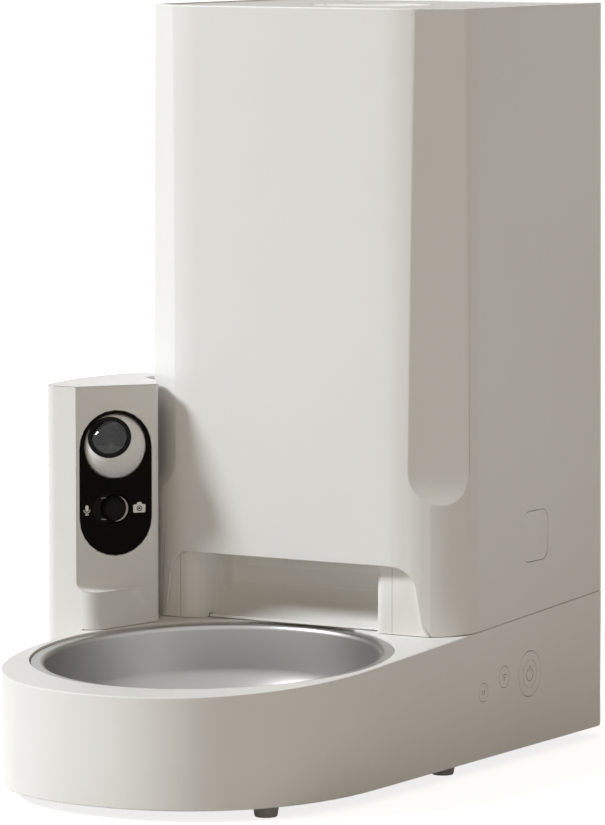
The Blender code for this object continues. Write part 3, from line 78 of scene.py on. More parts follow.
MM = 0.001
PLAN_ORIGIN = Vector((0.01411, -0.063, 0.0))
DECK_RISE = 0.0505
DECK_HEIGHT = 65.5 * MM
LENS_TURN_DEG = 52.0
LENS_MIDDLE = Vector((-0.07118, -0.01850, 0.0))
BALL_CENTRE = Vector((-0.07631, -0.01450, 0.1597))
BALL_PAN_DEG = 28.0
BALL_TILT_DEG = 24.0

# Turns x towards the back, y up and z to the right
SIDE_AXES = Matrix(((0, 0, 1, 0), (1, 0, 0, 0), (0, 1, 0, 0), (0, 0, 0, 1)))

Point = tuple[float, float]
Colour = tuple[float, float, float]


class Body(str, Enum):
    """Bodies of the frame that pieces ride on."""

    BASE = "base"
    BOWL = "bowl"
    HOPPER = "hopper"
    RELEASE_LEFT = "release_left"
    RELEASE_RIGHT = "release_right"
    LID = "hopper_lid"
    KNOB = "knob"
    ROTOR = "rotor"
    PAN = "pan_arm"
    BALL = "ball"
    SLIDER = "slider"
    POWER = "power_key"
    FEED = "feed_key"
    RESET = "reset_key"


def deck_matrix() -> Matrix:
    """Frame on the sloping deck at the bowl's centre, with z along the deck's normal.

    Returns:
        The frame's matrix.
    """
    place = Matrix.Translation(PLAN_ORIGIN + Vector((0, 0, DECK_HEIGHT)))
    return place @ Matrix.Rotation(math.atan(DECK_RISE), 4, "X")


def lens_matrix(height: float = 0.0, along: float = 0.0) -> Matrix:
    """Frame on the tower's lens face, with x along it and -y out of it.

    Args:
        height: Height above the ground.
        along: Distance along the face from its middle.

    Returns:
        The frame's matrix.
    """
    turn = Matrix.Rotation(math.radians(LENS_TURN_DEG), 4, "Z")
    return Matrix.Translation(LENS_MIDDLE) @ turn @ Matrix.Translation((along, 0, height))


def ball_matrix() -> Matrix:
    """Frame in the camera ball's centre at rest, with the lens looking along -y.

    Returns:
        The frame's matrix.
    """
    pan = Matrix.Rotation(math.radians(BALL_PAN_DEG), 4, "Z")
    tilt = Matrix.Rotation(math.radians(-BALL_TILT_DEG), 4, "X")
    return Matrix.Translation(BALL_CENTRE) @ pan @ tilt


class Graph:
    """Adds nodes to one tree and links them."""

    def __init__(self, tree: bpy.types.NodeTree) -> None:
        """Keeps the tree."""
        self.tree = tree

    def add(self, kind: str, inputs: dict[Any, Any] | None = None, **settings: Any) -> bpy.types.Node:
        """Adds one node.

        Args:
            kind: The node's type.
            inputs: Values, or sockets to link from, by the input's name or number.
            settings: Properties of the node.

        Returns:
            The node.
        """
        node = self.tree.nodes.new(kind)
        for key, value in settings.items():
            setattr(node, key, value)
        for key, value in (inputs or {}).items():
            if isinstance(value, bpy.types.NodeSocket):
                self.tree.links.new(value, node.inputs[key])
            else:
                node.inputs[key].default_value = value
        return node

    def link(self, start: bpy.types.NodeSocket, end: bpy.types.NodeSocket) -> None:
        """Links two sockets."""
        self.tree.links.new(start, end)

    def math(self, operation: str, first: Any, second: Any) -> bpy.types.NodeSocket:
        """Adds a Math node."""
        return self.add("ShaderNodeMath", {0: first, 1: second}, operation=operation).outputs[0]

    def mix(self, share: bpy.types.NodeSocket, first: Any, second: Any) -> bpy.types.NodeSocket:
        """Adds a Mix node for colours."""
        return self.add("ShaderNodeMix", {"Factor": share, 6: first, 7: second}, data_type="RGBA").outputs[2]

    def ramp(self, value: Any, low: Any, high: Any, start: float = 0.0, end: float = 1.0) -> bpy.types.NodeSocket:
        """Adds a Map Range node."""
        return self.add("ShaderNodeMapRange", {"Value": value, 1: low, 2: high, 3: start, 4: end}).outputs["Result"]

    def noise(self, where: bpy.types.NodeSocket, scale: Any, detail: float, **more: float) -> bpy.types.NodeSocket:
        """Adds a noise texture."""
        inputs = {"Vector": where, "Scale": scale, "Detail": detail, **more}
        return self.add("ShaderNodeTexNoise", inputs).outputs["Fac"]

    def vector(self, x: Any = 0.0, y: Any = 0.0, z: Any = 0.0) -> bpy.types.NodeSocket:
        """Adds a Combine XYZ node."""
        return self.add("ShaderNodeCombineXYZ", {0: x, 1: y, 2: z}).outputs[0]

    def object_place(self) -> bpy.types.NodeSocket:
        """Adds object coordinates."""
        return self.add("ShaderNodeTexCoord").outputs["Object"]


def rgba(colour: Colour, share: float = 1.0) -> tuple[float, ...]:
    """Colour of four values, darker or lighter by a share.

    Args:
        colour: The colour.
        share: What each part is multiplied by.

    Returns:
        The colour with an alpha of one.
    """
    return tuple(min(1.0, part * share) for part in colour) + (1.0,)


def new_group(name: str, inputs: dict[str, Any], outputs: dict[str, str]) -> tuple[Graph, Any, Any]:
    """Makes a shader node group with named sockets.

    Args:
        name: The group's name.
        inputs: Default value of each input: a number, or a colour of four.
        outputs: Socket type of each output.

    Returns:
        The graph, the group's input node and its output node.
    """
    tree = bpy.data.node_groups.new(name, "ShaderNodeTree")
    for label, value in inputs.items():
        kind = "NodeSocketFloat" if isinstance(value, (int, float)) else "NodeSocketColor"
        socket = tree.interface.new_socket(name=label, in_out="INPUT", socket_type=kind)
        socket.default_value = value
    for label, kind in outputs.items():
        tree.interface.new_socket(name=label, in_out="OUTPUT", socket_type=kind)
    graph = Graph(tree)
    return graph, graph.add("NodeGroupInput"), graph.add("NodeGroupOutput")


class SharedGroups:
    """Shader groups that more than one finish uses, built once each."""

    _made: dict[str, bpy.types.NodeTree] = {}

    @classmethod
    def get(cls, name: str) -> bpy.types.NodeTree:
        """Returns the named group, and builds it the first time.

        Args:
            name: Its name.

        Returns:
            The group's tree.
        """
        if name not in cls._made:
            cls._made[name] = getattr(cls, f"_{name}")()
        return cls._made[name]

    @staticmethod
    def _moulded_grain() -> bpy.types.NodeTree:
        """Fine spark-eroded grain with slow shifts of tone and gloss, as on moulded plastic.

        Returns:
            The tree.
        """
        graph, given, out = new_group(
            "moulded_grain",
            {"Color": (0.8, 0.8, 0.8, 1), "Shade": (0.7, 0.7, 0.7, 1), "Roughness": 0.45,
             "Grain Scale": 2600.0, "Tone Scale": 7.0, "Gloss Spread": 0.06},
            {"Color": "NodeSocketColor", "Roughness": "NodeSocketFloat", "Height": "NodeSocketFloat"})
        where = graph.object_place()
        grain = graph.noise(where, given.outputs["Grain Scale"], 2.0, Roughness=0.6)
        tone = graph.noise(where, given.outputs["Tone Scale"], 3.0)
        mixed = graph.mix(graph.ramp(tone, 0.35, 0.7), given.outputs["Color"], given.outputs["Shade"])
        spread = graph.math("MULTIPLY", graph.math("SUBTRACT", tone, 0.5), given.outputs["Gloss Spread"])
        rough = graph.math("ADD", given.outputs["Roughness"], spread)
        rough = graph.math("ADD", rough, graph.math("MULTIPLY", grain, 0.05))
        graph.link(mixed, out.inputs["Color"])
        graph.link(rough, out.inputs["Roughness"])
        graph.link(grain, out.inputs["Height"])
        return graph.tree

    @staticmethod
    def _handled_edges() -> bpy.types.NodeTree:
        """Mask of edges polished by handling, broken up by noise.

        Returns:
            The tree.
        """
        graph, given, out = new_group(
            "handled_edges", {"Edge Start": 0.52, "Edge End": 0.62, "Break Up": 90.0},
            {"Mask": "NodeSocketFloat"})
        edge = graph.add("ShaderNodeNewGeometry").outputs["Pointiness"]
        ramp = graph.ramp(edge, given.outputs["Edge Start"], given.outputs["Edge End"])
        noise = graph.noise(graph.object_place(), given.outputs["Break Up"], 4.0)
        graph.link(graph.math("MULTIPLY", ramp, noise), out.inputs["Mask"])
        return graph.tree

    @staticmethod
    def _settled_dust() -> bpy.types.NodeTree:
        """Thin dust that gathers low down and in the folds of slow noise.

        Returns:
            The tree.
        """
        graph, given, out = new_group(
            "settled_dust", {"Top": 0.05, "Amount": 0.4, "Patch Scale": 45.0}, {"Mask": "NodeSocketFloat"})
        where = graph.object_place()
        height = graph.add("ShaderNodeSeparateXYZ", {"Vector": where})
        low = graph.ramp(height.outputs["Z"], 0.0, given.outputs["Top"], 1.0, 0.0)
        both = graph.math("MULTIPLY", low, graph.noise(where, given.outputs["Patch Scale"], 5.0))
        graph.link(graph.math("MULTIPLY", both, given.outputs["Amount"]), out.inputs["Mask"])
        return graph.tree

    @staticmethod
    def _turned_rings() -> bpy.types.NodeTree:
        """Concentric marks round the object-space axis that Mapping has brought to z.

        Returns:
            The tree.
        """
        graph, given, out = new_group(
            "turned_rings", {"Pitch Scale": 900.0, "Streak Scale": 6.0, "Roughness": 0.25, "Spread": 0.12},
            {"Height": "NodeSocketFloat", "Roughness": "NodeSocketFloat"})
        graph.tree.interface.new_socket(name="Vector", in_out="INPUT", socket_type="NodeSocketVector")
        where = given.outputs["Vector"]
        parts = graph.add("ShaderNodeSeparateXYZ", {"Vector": where})
        flat = graph.vector(parts.outputs["X"], parts.outputs["Y"])
        radius = graph.add("ShaderNodeVectorMath", {0: flat}, operation="LENGTH")
        # Radius and height together, so that a wall is marked as well as a floor
        along = graph.math("SUBTRACT", radius.outputs["Value"], parts.outputs["Z"])
        fine = graph.noise(graph.vector(along), given.outputs["Pitch Scale"], 6.0, Roughness=0.8)
        both = graph.math("MULTIPLY", fine, graph.noise(where, given.outputs["Streak Scale"], 2.0))
        rough = graph.math("MULTIPLY", both, given.outputs["Spread"])
        graph.link(fine, out.inputs["Height"])
        graph.link(graph.math("ADD", rough, given.outputs["Roughness"]), out.inputs["Roughness"])
        return graph.tree


@dataclass(frozen=True)
class Finish:
    """A finish of the feeder, which makes its material once."""

    name: str
    slot: str
    colour: Colour
    roughness: float

    def material(self) -> bpy.types.Material:
        """Returns the finish's material, and makes it the first time.

        Returns:
            The material.
        """
        made = bpy.data.materials.get(self.name)
        if made is None:
            made = bpy.data.materials.new(self.name)
            made.use_nodes = True
            shader = made.node_tree.nodes["Principled BSDF"]
            self.set(shader, {"Base Color": rgba(self.colour), "Roughness": self.roughness})
            self.dress(Graph(made.node_tree), shader)
        return made

    def dress(self, graph: Graph, shader: bpy.types.Node) -> None:
        """Adds the finish's own nodes."""

    def group(self, graph: Graph, name: str, values: dict[str, Any] | None = None) -> bpy.types.Node:
        """Places a shared group in the material."""
        return graph.add("ShaderNodeGroup", values, node_tree=SharedGroups.get(name))

    @staticmethod
    def set(shader: bpy.types.Node, values: dict[str, Any]) -> None:
        """Sets constant inputs of the shader."""
        for key, value in values.items():
            shader.inputs[key].default_value = value

    def bump(self, graph: Graph, shader: bpy.types.Node, height: bpy.types.NodeSocket,
             depth: float, strength: float) -> None:
        """Feeds a height to the shader's normal through a Bump node."""
        bump = graph.add("ShaderNodeBump", {"Height": height, "Distance": depth, "Strength": strength})
        graph.link(bump.outputs["Normal"], shader.inputs["Normal"])

    def grain(self, graph: Graph, shader: bpy.types.Node, shade: Any, depth: float, strength: float,
              values: dict[str, float]) -> bpy.types.Node:
        """Feeds the moulded grain to the shader's colour, roughness and normal.

        Args:
            graph: The material's graph.
            shader: The shader.
            shade: The second colour.
            depth: How deep the grain is, or zero for none in the normal.
            strength: Share of the bump that shows.
            values: Other inputs of the grain's group.

        Returns:
            The group's node.
        """
        grain = self.group(graph, "moulded_grain", {
            "Color": rgba(self.colour), "Shade": shade, "Roughness": self.roughness, **values})
        graph.link(grain.outputs["Color"], shader.inputs["Base Color"])
        graph.link(grain.outputs["Roughness"], shader.inputs["Roughness"])
        if depth:
            self.bump(graph, shader, grain.outputs["Height"], depth, strength)
        return grain


@dataclass(frozen=True)
class MouldedPlastic(Finish):
    """Injection-moulded plastic with a fine grain, handled edges and a little dust low down."""

    shade: Colour = (0.7, 0.7, 0.7)
    grain_scale: float = 2600.0
    grain_depth: float = 0.00003
    gloss_spread: float = 0.08
    dust: float = 0.25
    dust_top: float = 0.03
    dust_colour: Colour = (0.50, 0.46, 0.40)
    edge_paleness: float = 1.08
    edge_polish: float = 0.12
    scatter: float = 0.0

    def dress(self, graph: Graph, shader: bpy.types.Node) -> None:
        """Grain, tone, handled edges and dust.

        Args:
            graph: The graph of the material or tree.
            shader: The material's Principled shader.
        """
        grain = self.grain(graph, shader, rgba(self.shade), self.grain_depth, 0.5,
                           {"Grain Scale": self.grain_scale, "Gloss Spread": self.gloss_spread})
        edges = self.group(graph, "handled_edges").outputs["Mask"]
        dust = self.group(graph, "settled_dust", {"Top": self.dust_top, "Amount": self.dust}).outputs["Mask"]
        paler = graph.mix(edges, grain.outputs["Color"], rgba(self.colour, self.edge_paleness))
        graph.link(graph.mix(dust, paler, rgba(self.dust_colour)), shader.inputs["Base Color"])
        rough = graph.math("SUBTRACT", grain.outputs["Roughness"], graph.math("MULTIPLY", edges, self.edge_polish))
        graph.link(rough, shader.inputs["Roughness"])
        self.set(shader, {"IOR": 1.5})
        if self.scatter:
            self.set(shader, {"Subsurface Weight": self.scatter, "Subsurface Radius": (1.0, 0.8, 0.6),
                              "Subsurface Scale": 0.0008})


@dataclass(frozen=True)
class GlossPlastic(Finish):
    """Polished dark plastic with faint wiping marks."""

    wipe_scale: float = 60.0
    reflects: float = 0.5

    def dress(self, graph: Graph, shader: bpy.types.Node) -> None:
        """Wiping marks in the gloss.

        Args:
            graph: The graph of the material or tree.
            shader: The material's Principled shader.
        """
        self.grain(graph, shader, rgba(self.colour, 1.5), 0.000004, 0.2,
                   {"Grain Scale": 900.0, "Tone Scale": self.wipe_scale, "Gloss Spread": 0.10})
        self.set(shader, {"Specular IOR Level": self.reflects})


@dataclass(frozen=True)
class TurnedSteel(Finish):
    """Spun and brushed stainless steel, with rings round the bowl's own axis."""

    centre: tuple[float, float, float] = (0.0, 0.0, 0.0)
    tilt: float = 0.0
    pitch_scale: float = 1400.0
    spread: float = 0.16

    def dress(self, graph: Graph, shader: bpy.types.Node) -> None:
        """Rings in the roughness and the normal.

        Args:
            graph: The graph of the material or tree.
            shader: The material's Principled shader.
        """
        self.set(shader, {"Metallic": 1.0})
        placed = graph.add("ShaderNodeMapping", {
            "Vector": graph.object_place(), "Location": self.centre, "Rotation": (self.tilt, 0, 0)},
            vector_type="TEXTURE")
        rings = self.group(graph, "turned_rings", {
            "Vector": placed.outputs["Vector"], "Pitch Scale": self.pitch_scale,
            "Roughness": self.roughness, "Spread": self.spread})
        dust = self.group(graph, "settled_dust", {"Top": 0.09, "Amount": 0.10, "Patch Scale": 30.0})
        dulled = graph.mix(dust.outputs["Mask"], rgba(self.colour), rgba(self.colour, 0.8))
        graph.link(dulled, shader.inputs["Base Color"])
        graph.link(rings.outputs["Roughness"], shader.inputs["Roughness"])
        self.bump(graph, shader, rings.outputs["Height"], 0.00001, 0.35)


@dataclass(frozen=True)
class PlatedMetal(Finish):
    """Plated steel of motors, shafts and screws."""

    def dress(self, graph: Graph, shader: bpy.types.Node) -> None:
        """A cloudy zinc-like tone.

        Args:
            graph: The graph of the material or tree.
            shader: The material's Principled shader.
        """
        self.set(shader, {"Metallic": 1.0})
        self.grain(graph, shader, rgba(self.colour, 0.75), 0.00001, 0.3,
                   {"Grain Scale": 1800.0, "Tone Scale": 160.0, "Gloss Spread": 0.2})


@dataclass(frozen=True)
class SoftRubber(Finish):
    """Matte rubber or silicone with a dry, slightly dusty skin."""

    dust_colour: Colour = (0.45, 0.42, 0.38)
    scatter: float = 0.0

    def dress(self, graph: Graph, shader: bpy.types.Node) -> None:
        """Coarser grain and dust.

        Args:
            graph: The graph of the material or tree.
            shader: The material's Principled shader.
        """
        grain = self.grain(graph, shader, rgba(self.colour, 0.85), 0.00004, 0.6,
                           {"Grain Scale": 1500.0, "Tone Scale": 80.0, "Gloss Spread": 0.12})
        dust = self.group(graph, "settled_dust", {"Top": 0.006, "Amount": 0.6, "Patch Scale": 300.0})
        dusted = graph.mix(dust.outputs["Mask"], grain.outputs["Color"], rgba(self.dust_colour))
        graph.link(dusted, shader.inputs["Base Color"])
        self.set(shader, {"Sheen Weight": 0.15})
        if self.scatter:
            self.set(shader, {"Subsurface Weight": self.scatter, "Subsurface Scale": 0.002})


@dataclass(frozen=True)
class ClearGlass(Finish):
    """Front glass with a thin coloured bloom from its coating."""

    bloom: Colour = (0.55, 0.62, 0.60)

    def dress(self, graph: Graph, shader: bpy.types.Node) -> None:
        """Transmission with faint finger marks.

        Args:
            graph: The graph of the material or tree.
            shader: The material's Principled shader.
        """
        self.set(shader, {"Transmission Weight": 1.0, "IOR": 1.45, "Coat Weight": 0.3})
        self.grain(graph, shader, rgba(self.bloom), 0.0, 0.0,
                   {"Grain Scale": 500.0, "Tone Scale": 150.0, "Gloss Spread": 0.02})


@dataclass(frozen=True)
class CoatedOptic(Finish):
    """Inner lens whose coating shifts from green to amber across its face."""

    second: Colour = (0.30, 0.14, 0.05)

    def dress(self, graph: Graph, shader: bpy.types.Node) -> None:
        """Two coating colours mixed by slow noise.

        Args:
            graph: The graph of the material or tree.
            shader: The material's Principled shader.
        """
        tone = graph.ramp(graph.noise(graph.object_place(), 120.0, 1.0), 0.4, 0.6)
        graph.link(graph.mix(tone, rgba(self.colour), rgba(self.second)), shader.inputs["Base Color"])
        self.set(shader, {"Coat Weight": 1.0, "Coat Roughness": 0.02})


@dataclass(frozen=True)
class CircuitBoard(Finish):
    """Green solder resist over copper tracks, with printed pads."""

    track: Colour = (0.05, 0.26, 0.12)
    pad: Colour = (0.55, 0.50, 0.36)

    def dress(self, graph: Graph, shader: bpy.types.Node) -> None:
        """Tracks from bricks and pads from cells.

        Args:
            graph: The graph of the material or tree.
            shader: The material's Principled shader.
        """
        where = graph.object_place()
        track = graph.add("ShaderNodeTexBrick", {
            "Vector": where, "Scale": 160.0, "Mortar Size": 0.06, "Bias": 0.0,
            "Color1": (0, 0, 0, 1), "Color2": (0.25, 0.25, 0.25, 1), "Mortar": (1, 1, 1, 1)})
        cell = graph.add("ShaderNodeTexVoronoi", {"Vector": where, "Scale": 330.0, "Randomness": 0.35})
        base = graph.mix(track.outputs["Fac"], rgba(self.colour), rgba(self.track))
        pads = graph.mix(graph.math("LESS_THAN", cell.outputs["Distance"], 0.16), base, rgba(self.pad))
        graph.link(pads, shader.inputs["Base Color"])
        self.bump(graph, shader, track.outputs["Fac"], 0.00003, 0.5)
        self.set(shader, {"Coat Weight": 0.4})


@dataclass(frozen=True)
class PrintedMark(Finish):
    """Screen-printed ink with a slightly uneven cover."""

    def dress(self, graph: Graph, shader: bpy.types.Node) -> None:
        """Uneven ink."""
        self.grain(graph, shader, rgba(self.colour, 0.88), 0.000004, 0.4,
                   {"Grain Scale": 3000.0, "Tone Scale": 400.0})


SHELL = MouldedPlastic("warm_white_shell", "shell", (0.80, 0.79, 0.765), 0.42, shade=(0.785, 0.772, 0.742),
                       scatter=0.05)
# Painted shade: the lid's colour is darkened to stand in for the shade on the hopper's top.
LID_PAINTED_SHADE = MouldedPlastic("lid_painted_shade", "shell", (0.50, 0.47, 0.43), 0.38, shade=(0.47, 0.44, 0.40), dust=0.0)
CHUTE = MouldedPlastic("warm_white_chute", "chute", (0.79, 0.775, 0.74), 0.48, shade=(0.77, 0.75, 0.71),
                       dust=0.0)
INNER = MouldedPlastic("grey_inner_plastic", "inner", (0.20, 0.20, 0.20), 0.55, shade=(0.17, 0.17, 0.17),
                       dust=0.35, dust_top=0.012)
STEEL = TurnedSteel("spun_steel", "steel", (0.45, 0.44, 0.425), 0.34,
                    centre=(PLAN_ORIGIN.x, PLAN_ORIGIN.y, DECK_HEIGHT), tilt=math.atan(DECK_RISE))
PANEL = GlossPlastic("black_panel", "panel", (0.0036, 0.0024, 0.0016), 0.22, reflects=0.025)
SLIDER = GlossPlastic("black_slider", "panel", (0.0042, 0.0032, 0.0026), 0.20, reflects=0.06)
# Painted highlight: pale grey marks that stand in for the light caught on the slider knob's dish wall and on the
# slot's rim.
PAINTED_HIGHLIGHT = PrintedMark("painted_highlight", "panel", (0.42, 0.40, 0.38), 0.35)
LENS = GlossPlastic("lens_tube_black", "lens", (0.004, 0.0036, 0.0032), 0.28, reflects=0.10)
GLASS = ClearGlass("front_glass", "glass", (0.16, 0.165, 0.16), 0.02, bloom=(0.05, 0.065, 0.06))
OPTIC = CoatedOptic("coated_optic", "glass", (0.02, 0.06, 0.05), 0.08)
SILICONE = SoftRubber("pale_silicone", "silicone", (0.70, 0.69, 0.66), 0.55, scatter=0.3)
RUBBER = SoftRubber("grey_rubber", "rubber", (0.30, 0.29, 0.28), 0.8)
BOARD = CircuitBoard("circuit_board", "board", (0.02, 0.12, 0.06), 0.4)
MOTOR = PlatedMetal("plated_metal", "motor", (0.45, 0.45, 0.46), 0.32)
CHIP = PrintedMark("chip_package", "inner", (0.03, 0.03, 0.03), 0.5)
WHITE_INK = PrintedMark("white_ink", "shell", (0.85, 0.85, 0.83), 0.5)
GREY_LINE = PrintedMark("moulded_line", "shell", (0.33, 0.30, 0.265), 0.6)


def make_piece(name: str, mesh: bpy.types.Mesh, finish: Finish, body: Body) -> bpy.types.Object:
    """Puts a finished mesh in the scene as a piece of one body.

    Args:
        name: The piece's name.
        mesh: Its mesh, already in world places.
        finish: Its finish.
        body: The body that it rides on.

    Returns:
        The piece.
    """
    piece = add_object(mesh, name)
    if not mesh.materials:
        mesh.materials.append(finish.material())
    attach(piece, body.value)
    LOG.info("%s rides on %s: %d faces", name, body.value, len(mesh.polygons))
    return piece


def evaluated_mesh(source: bpy.types.Object) -> bpy.types.Mesh:
    """Turns an object with modifiers into a plain mesh in world places, and removes the object.

    Args:
        source: The object.

    Returns:
        The mesh.
    """
    bpy.context.view_layer.update()
    graph = bpy.context.evaluated_depsgraph_get()
    mesh = bpy.data.meshes.new_from_object(source.evaluated_get(graph), depsgraph=graph)
    mesh.transform(source.matrix_world)
    bpy.data.objects.remove(source)
    return mesh


def shade(mesh: bpy.types.Mesh, sharp_deg: float = 35.0) -> bpy.types.Mesh:
    """Shades a mesh smooth except along sharp edges.

    Args:
        mesh: The mesh.
        sharp_deg: Edges sharper than this stay sharp.

    Returns:
        The same mesh.
    """
    mesh.shade_smooth()
    mesh.set_sharp_from_angle(angle=math.radians(sharp_deg))
    return mesh


def add_object(data: Any, name: str = "working") -> bpy.types.Object:
    """Puts a mesh, curve, light or camera in the scene.

    Args:
        data: The mesh or other data.
        name: The object's name.

    Returns:
        The object.
    """
    made = bpy.data.objects.new(name, data)
    bpy.context.scene.collection.objects.link(made)
    return made


def round_edges(work: bpy.types.Object, width: float, segments: int = 1, angle_deg: float = 30.0) -> None:
    """Adds a modifier that rounds the sharp edges.

    Args:
        work: The object.
        width: Width of the rounding.
        segments: Faces across it.
        angle_deg: Edges sharper than this are rounded.
    """
    bevel = work.modifiers.new("edges", "BEVEL")
    bevel.width = width
    bevel.segments = segments
    bevel.limit_method = "ANGLE"
    bevel.angle_limit = math.radians(angle_deg)


def combine(work: bpy.types.Object, operation: str, mesh: bpy.types.Mesh) -> bpy.types.Object:
    """Adds a modifier that joins a mesh to the object or cuts it away.

    Args:
        work: The object.
        operation: UNION or DIFFERENCE.
        mesh: The other mesh.

    Returns:
        The other mesh's object, to be removed once the modifier has been applied.
    """
    tool = add_object(mesh)
    step = work.modifiers.new("combine", "BOOLEAN")
    step.operation = operation
    step.object = tool
    step.solver = "EXACT"
    return tool


def mesh_from(bm: bmesh.types.BMesh, matrix: Matrix | None = None) -> bpy.types.Mesh:
    """Finishes a bmesh as a mesh with its faces outwards.

    Args:
        bm: The bmesh, which is freed.
        matrix: Where it goes.

    Returns:
        The mesh.
    """
    bmesh.ops.remove_doubles(bm, verts=bm.verts, dist=0.001 * MM)
    bmesh.ops.recalc_face_normals(bm, faces=bm.faces)
    if matrix is not None:
        bmesh.ops.transform(bm, matrix=matrix, verts=bm.verts)
    mesh = bpy.data.meshes.new("shape")
    bm.to_mesh(mesh)
    bm.free()
    return mesh


def turned_mesh(profile: Sequence[Point], steps: int, matrix: Matrix, sharp_deg: float = 35.0) -> bpy.types.Mesh:
    """Turns a profile of (radius, height) points about z into a closed, smooth mesh.

    Args:
        profile: Points from the axis or back to the first point, in order.
        steps: Segments round the axis.
        matrix: Where the axis goes.
        sharp_deg: Edges sharper than this stay sharp.

    Returns:
        The mesh.
    """
    bm = bmesh.new()
    rings: list[list[Any]] = []
    for radius, height in profile:
        if radius <= 0:
            rings.append([bm.verts.new((0, 0, height))])
            continue
        ring = []
        for step in range(steps):
            angle = 2 * math.pi * step / steps
            ring.append(bm.verts.new((radius * math.cos(angle), radius * math.sin(angle), height)))
        rings.append(ring)
    pairs = list(zip(rings, rings[1:]))
    if profile[0][0] > 0:
        pairs.append((rings[-1], rings[0]))
    for first, second in pairs:
        if len(first) == 1 and len(second) == 1:
            continue
        for step in range(steps):
            after = (step + 1) % steps
            corners = [first[step % len(first)], first[after % len(first)],
                       second[after % len(second)], second[step % len(second)]]
            unique = list(dict.fromkeys(corners))
            if len(unique) > 2:
                bm.faces.new(unique)
    return shade(mesh_from(bm, matrix), sharp_deg)


def arc(centre: Point, radius: float, start: float, end: float, steps: int = 12) -> list[Point]:
    """Points along an arc, angles in degrees, both ends included.

    Args:
        centre: The arc's centre.
        radius: Radius of each.
        start: Where it starts.
        end: Where it ends.
        steps: Segments.

    Returns:
        The points.
    """
    points = []
    for step in range(steps + 1):
        angle = math.radians(start + (end - start) * step / steps)
        points.append((centre[0] + radius * math.cos(angle), centre[1] + radius * math.sin(angle)))
    return points


def stroke(points: Sequence[Point], width: float) -> list[Point]:
    """Outline of a line of the given width with square ends.

    Args:
        points: Points of the line or of the copies.
        width: The line's width.

    Returns:
        The outline.
    """
    left: list[Point] = []
    right: list[Point] = []
    for index, point in enumerate(points):
        before = Vector(points[max(index - 1, 0)])
        after = Vector(points[min(index + 1, len(points) - 1)])
        along = (after - before).normalized()
        side = Vector((-along.y, along.x)) * width / 2
        left.append(tuple(Vector(point) + side))
        right.append(tuple(Vector(point) - side))
    return left + right[::-1]


def rectangle(left: float, low: float, right: float, high: float) -> list[Point]:
    """Outline of a rectangle.

    Args:
        left: Its first side.
        low: Its second side.
        right: Its third side.
        high: Its fourth side.

    Returns:
        The outline.
    """
    return [(left, low), (right, low), (right, high), (left, high)]


def pill(shift: float, half: float, radius: float, steps: int) -> list[Point]:
    """Outline of a lying pill.

    Args:
        shift: Where its middle is along x.
        half: Half of the distance between its round ends' centres.
        radius: Radius of its ends.
        steps: Segments of each end.

    Returns:
        The outline.
    """
    return arc((shift + half, 0), radius, -90, 90, steps) + arc((shift - half, 0), radius, 90, 270, steps)


def flat_mark(name: str, loops: Iterable[Sequence[Point]], thickness: float, matrix: Matrix,
              finish: Finish, body: Body) -> bpy.types.Object:
    """A thin printed or raised mark, filled between its loops.

    Args:
        name: The piece's name.
        loops: Closed outlines in the mark's own x and y. One inside another is a hole.
        thickness: The mark's thickness along z.
        matrix: Where the mark's plane goes.
        finish: Its finish.
        body: The body that it rides on.

    Returns:
        The piece.
    """
    curve = bpy.data.curves.new(name, "CURVE")
    curve.dimensions = "2D"
    curve.fill_mode = "BOTH"
    curve.extrude = thickness / 2
    for loop in loops:
        spline = curve.splines.new("POLY")
        spline.points.add(len(loop) - 1)
        for point, (x, y) in zip(spline.points, loop):
            point.co = (x, y, 0, 1)
        spline.use_cyclic_u = True
    mesh = evaluated_mesh(add_object(curve))
    mesh.transform(matrix)
    bm = bmesh.new()
    bm.from_mesh(mesh)
    return make_piece(name, mesh_from(bm), finish, body)


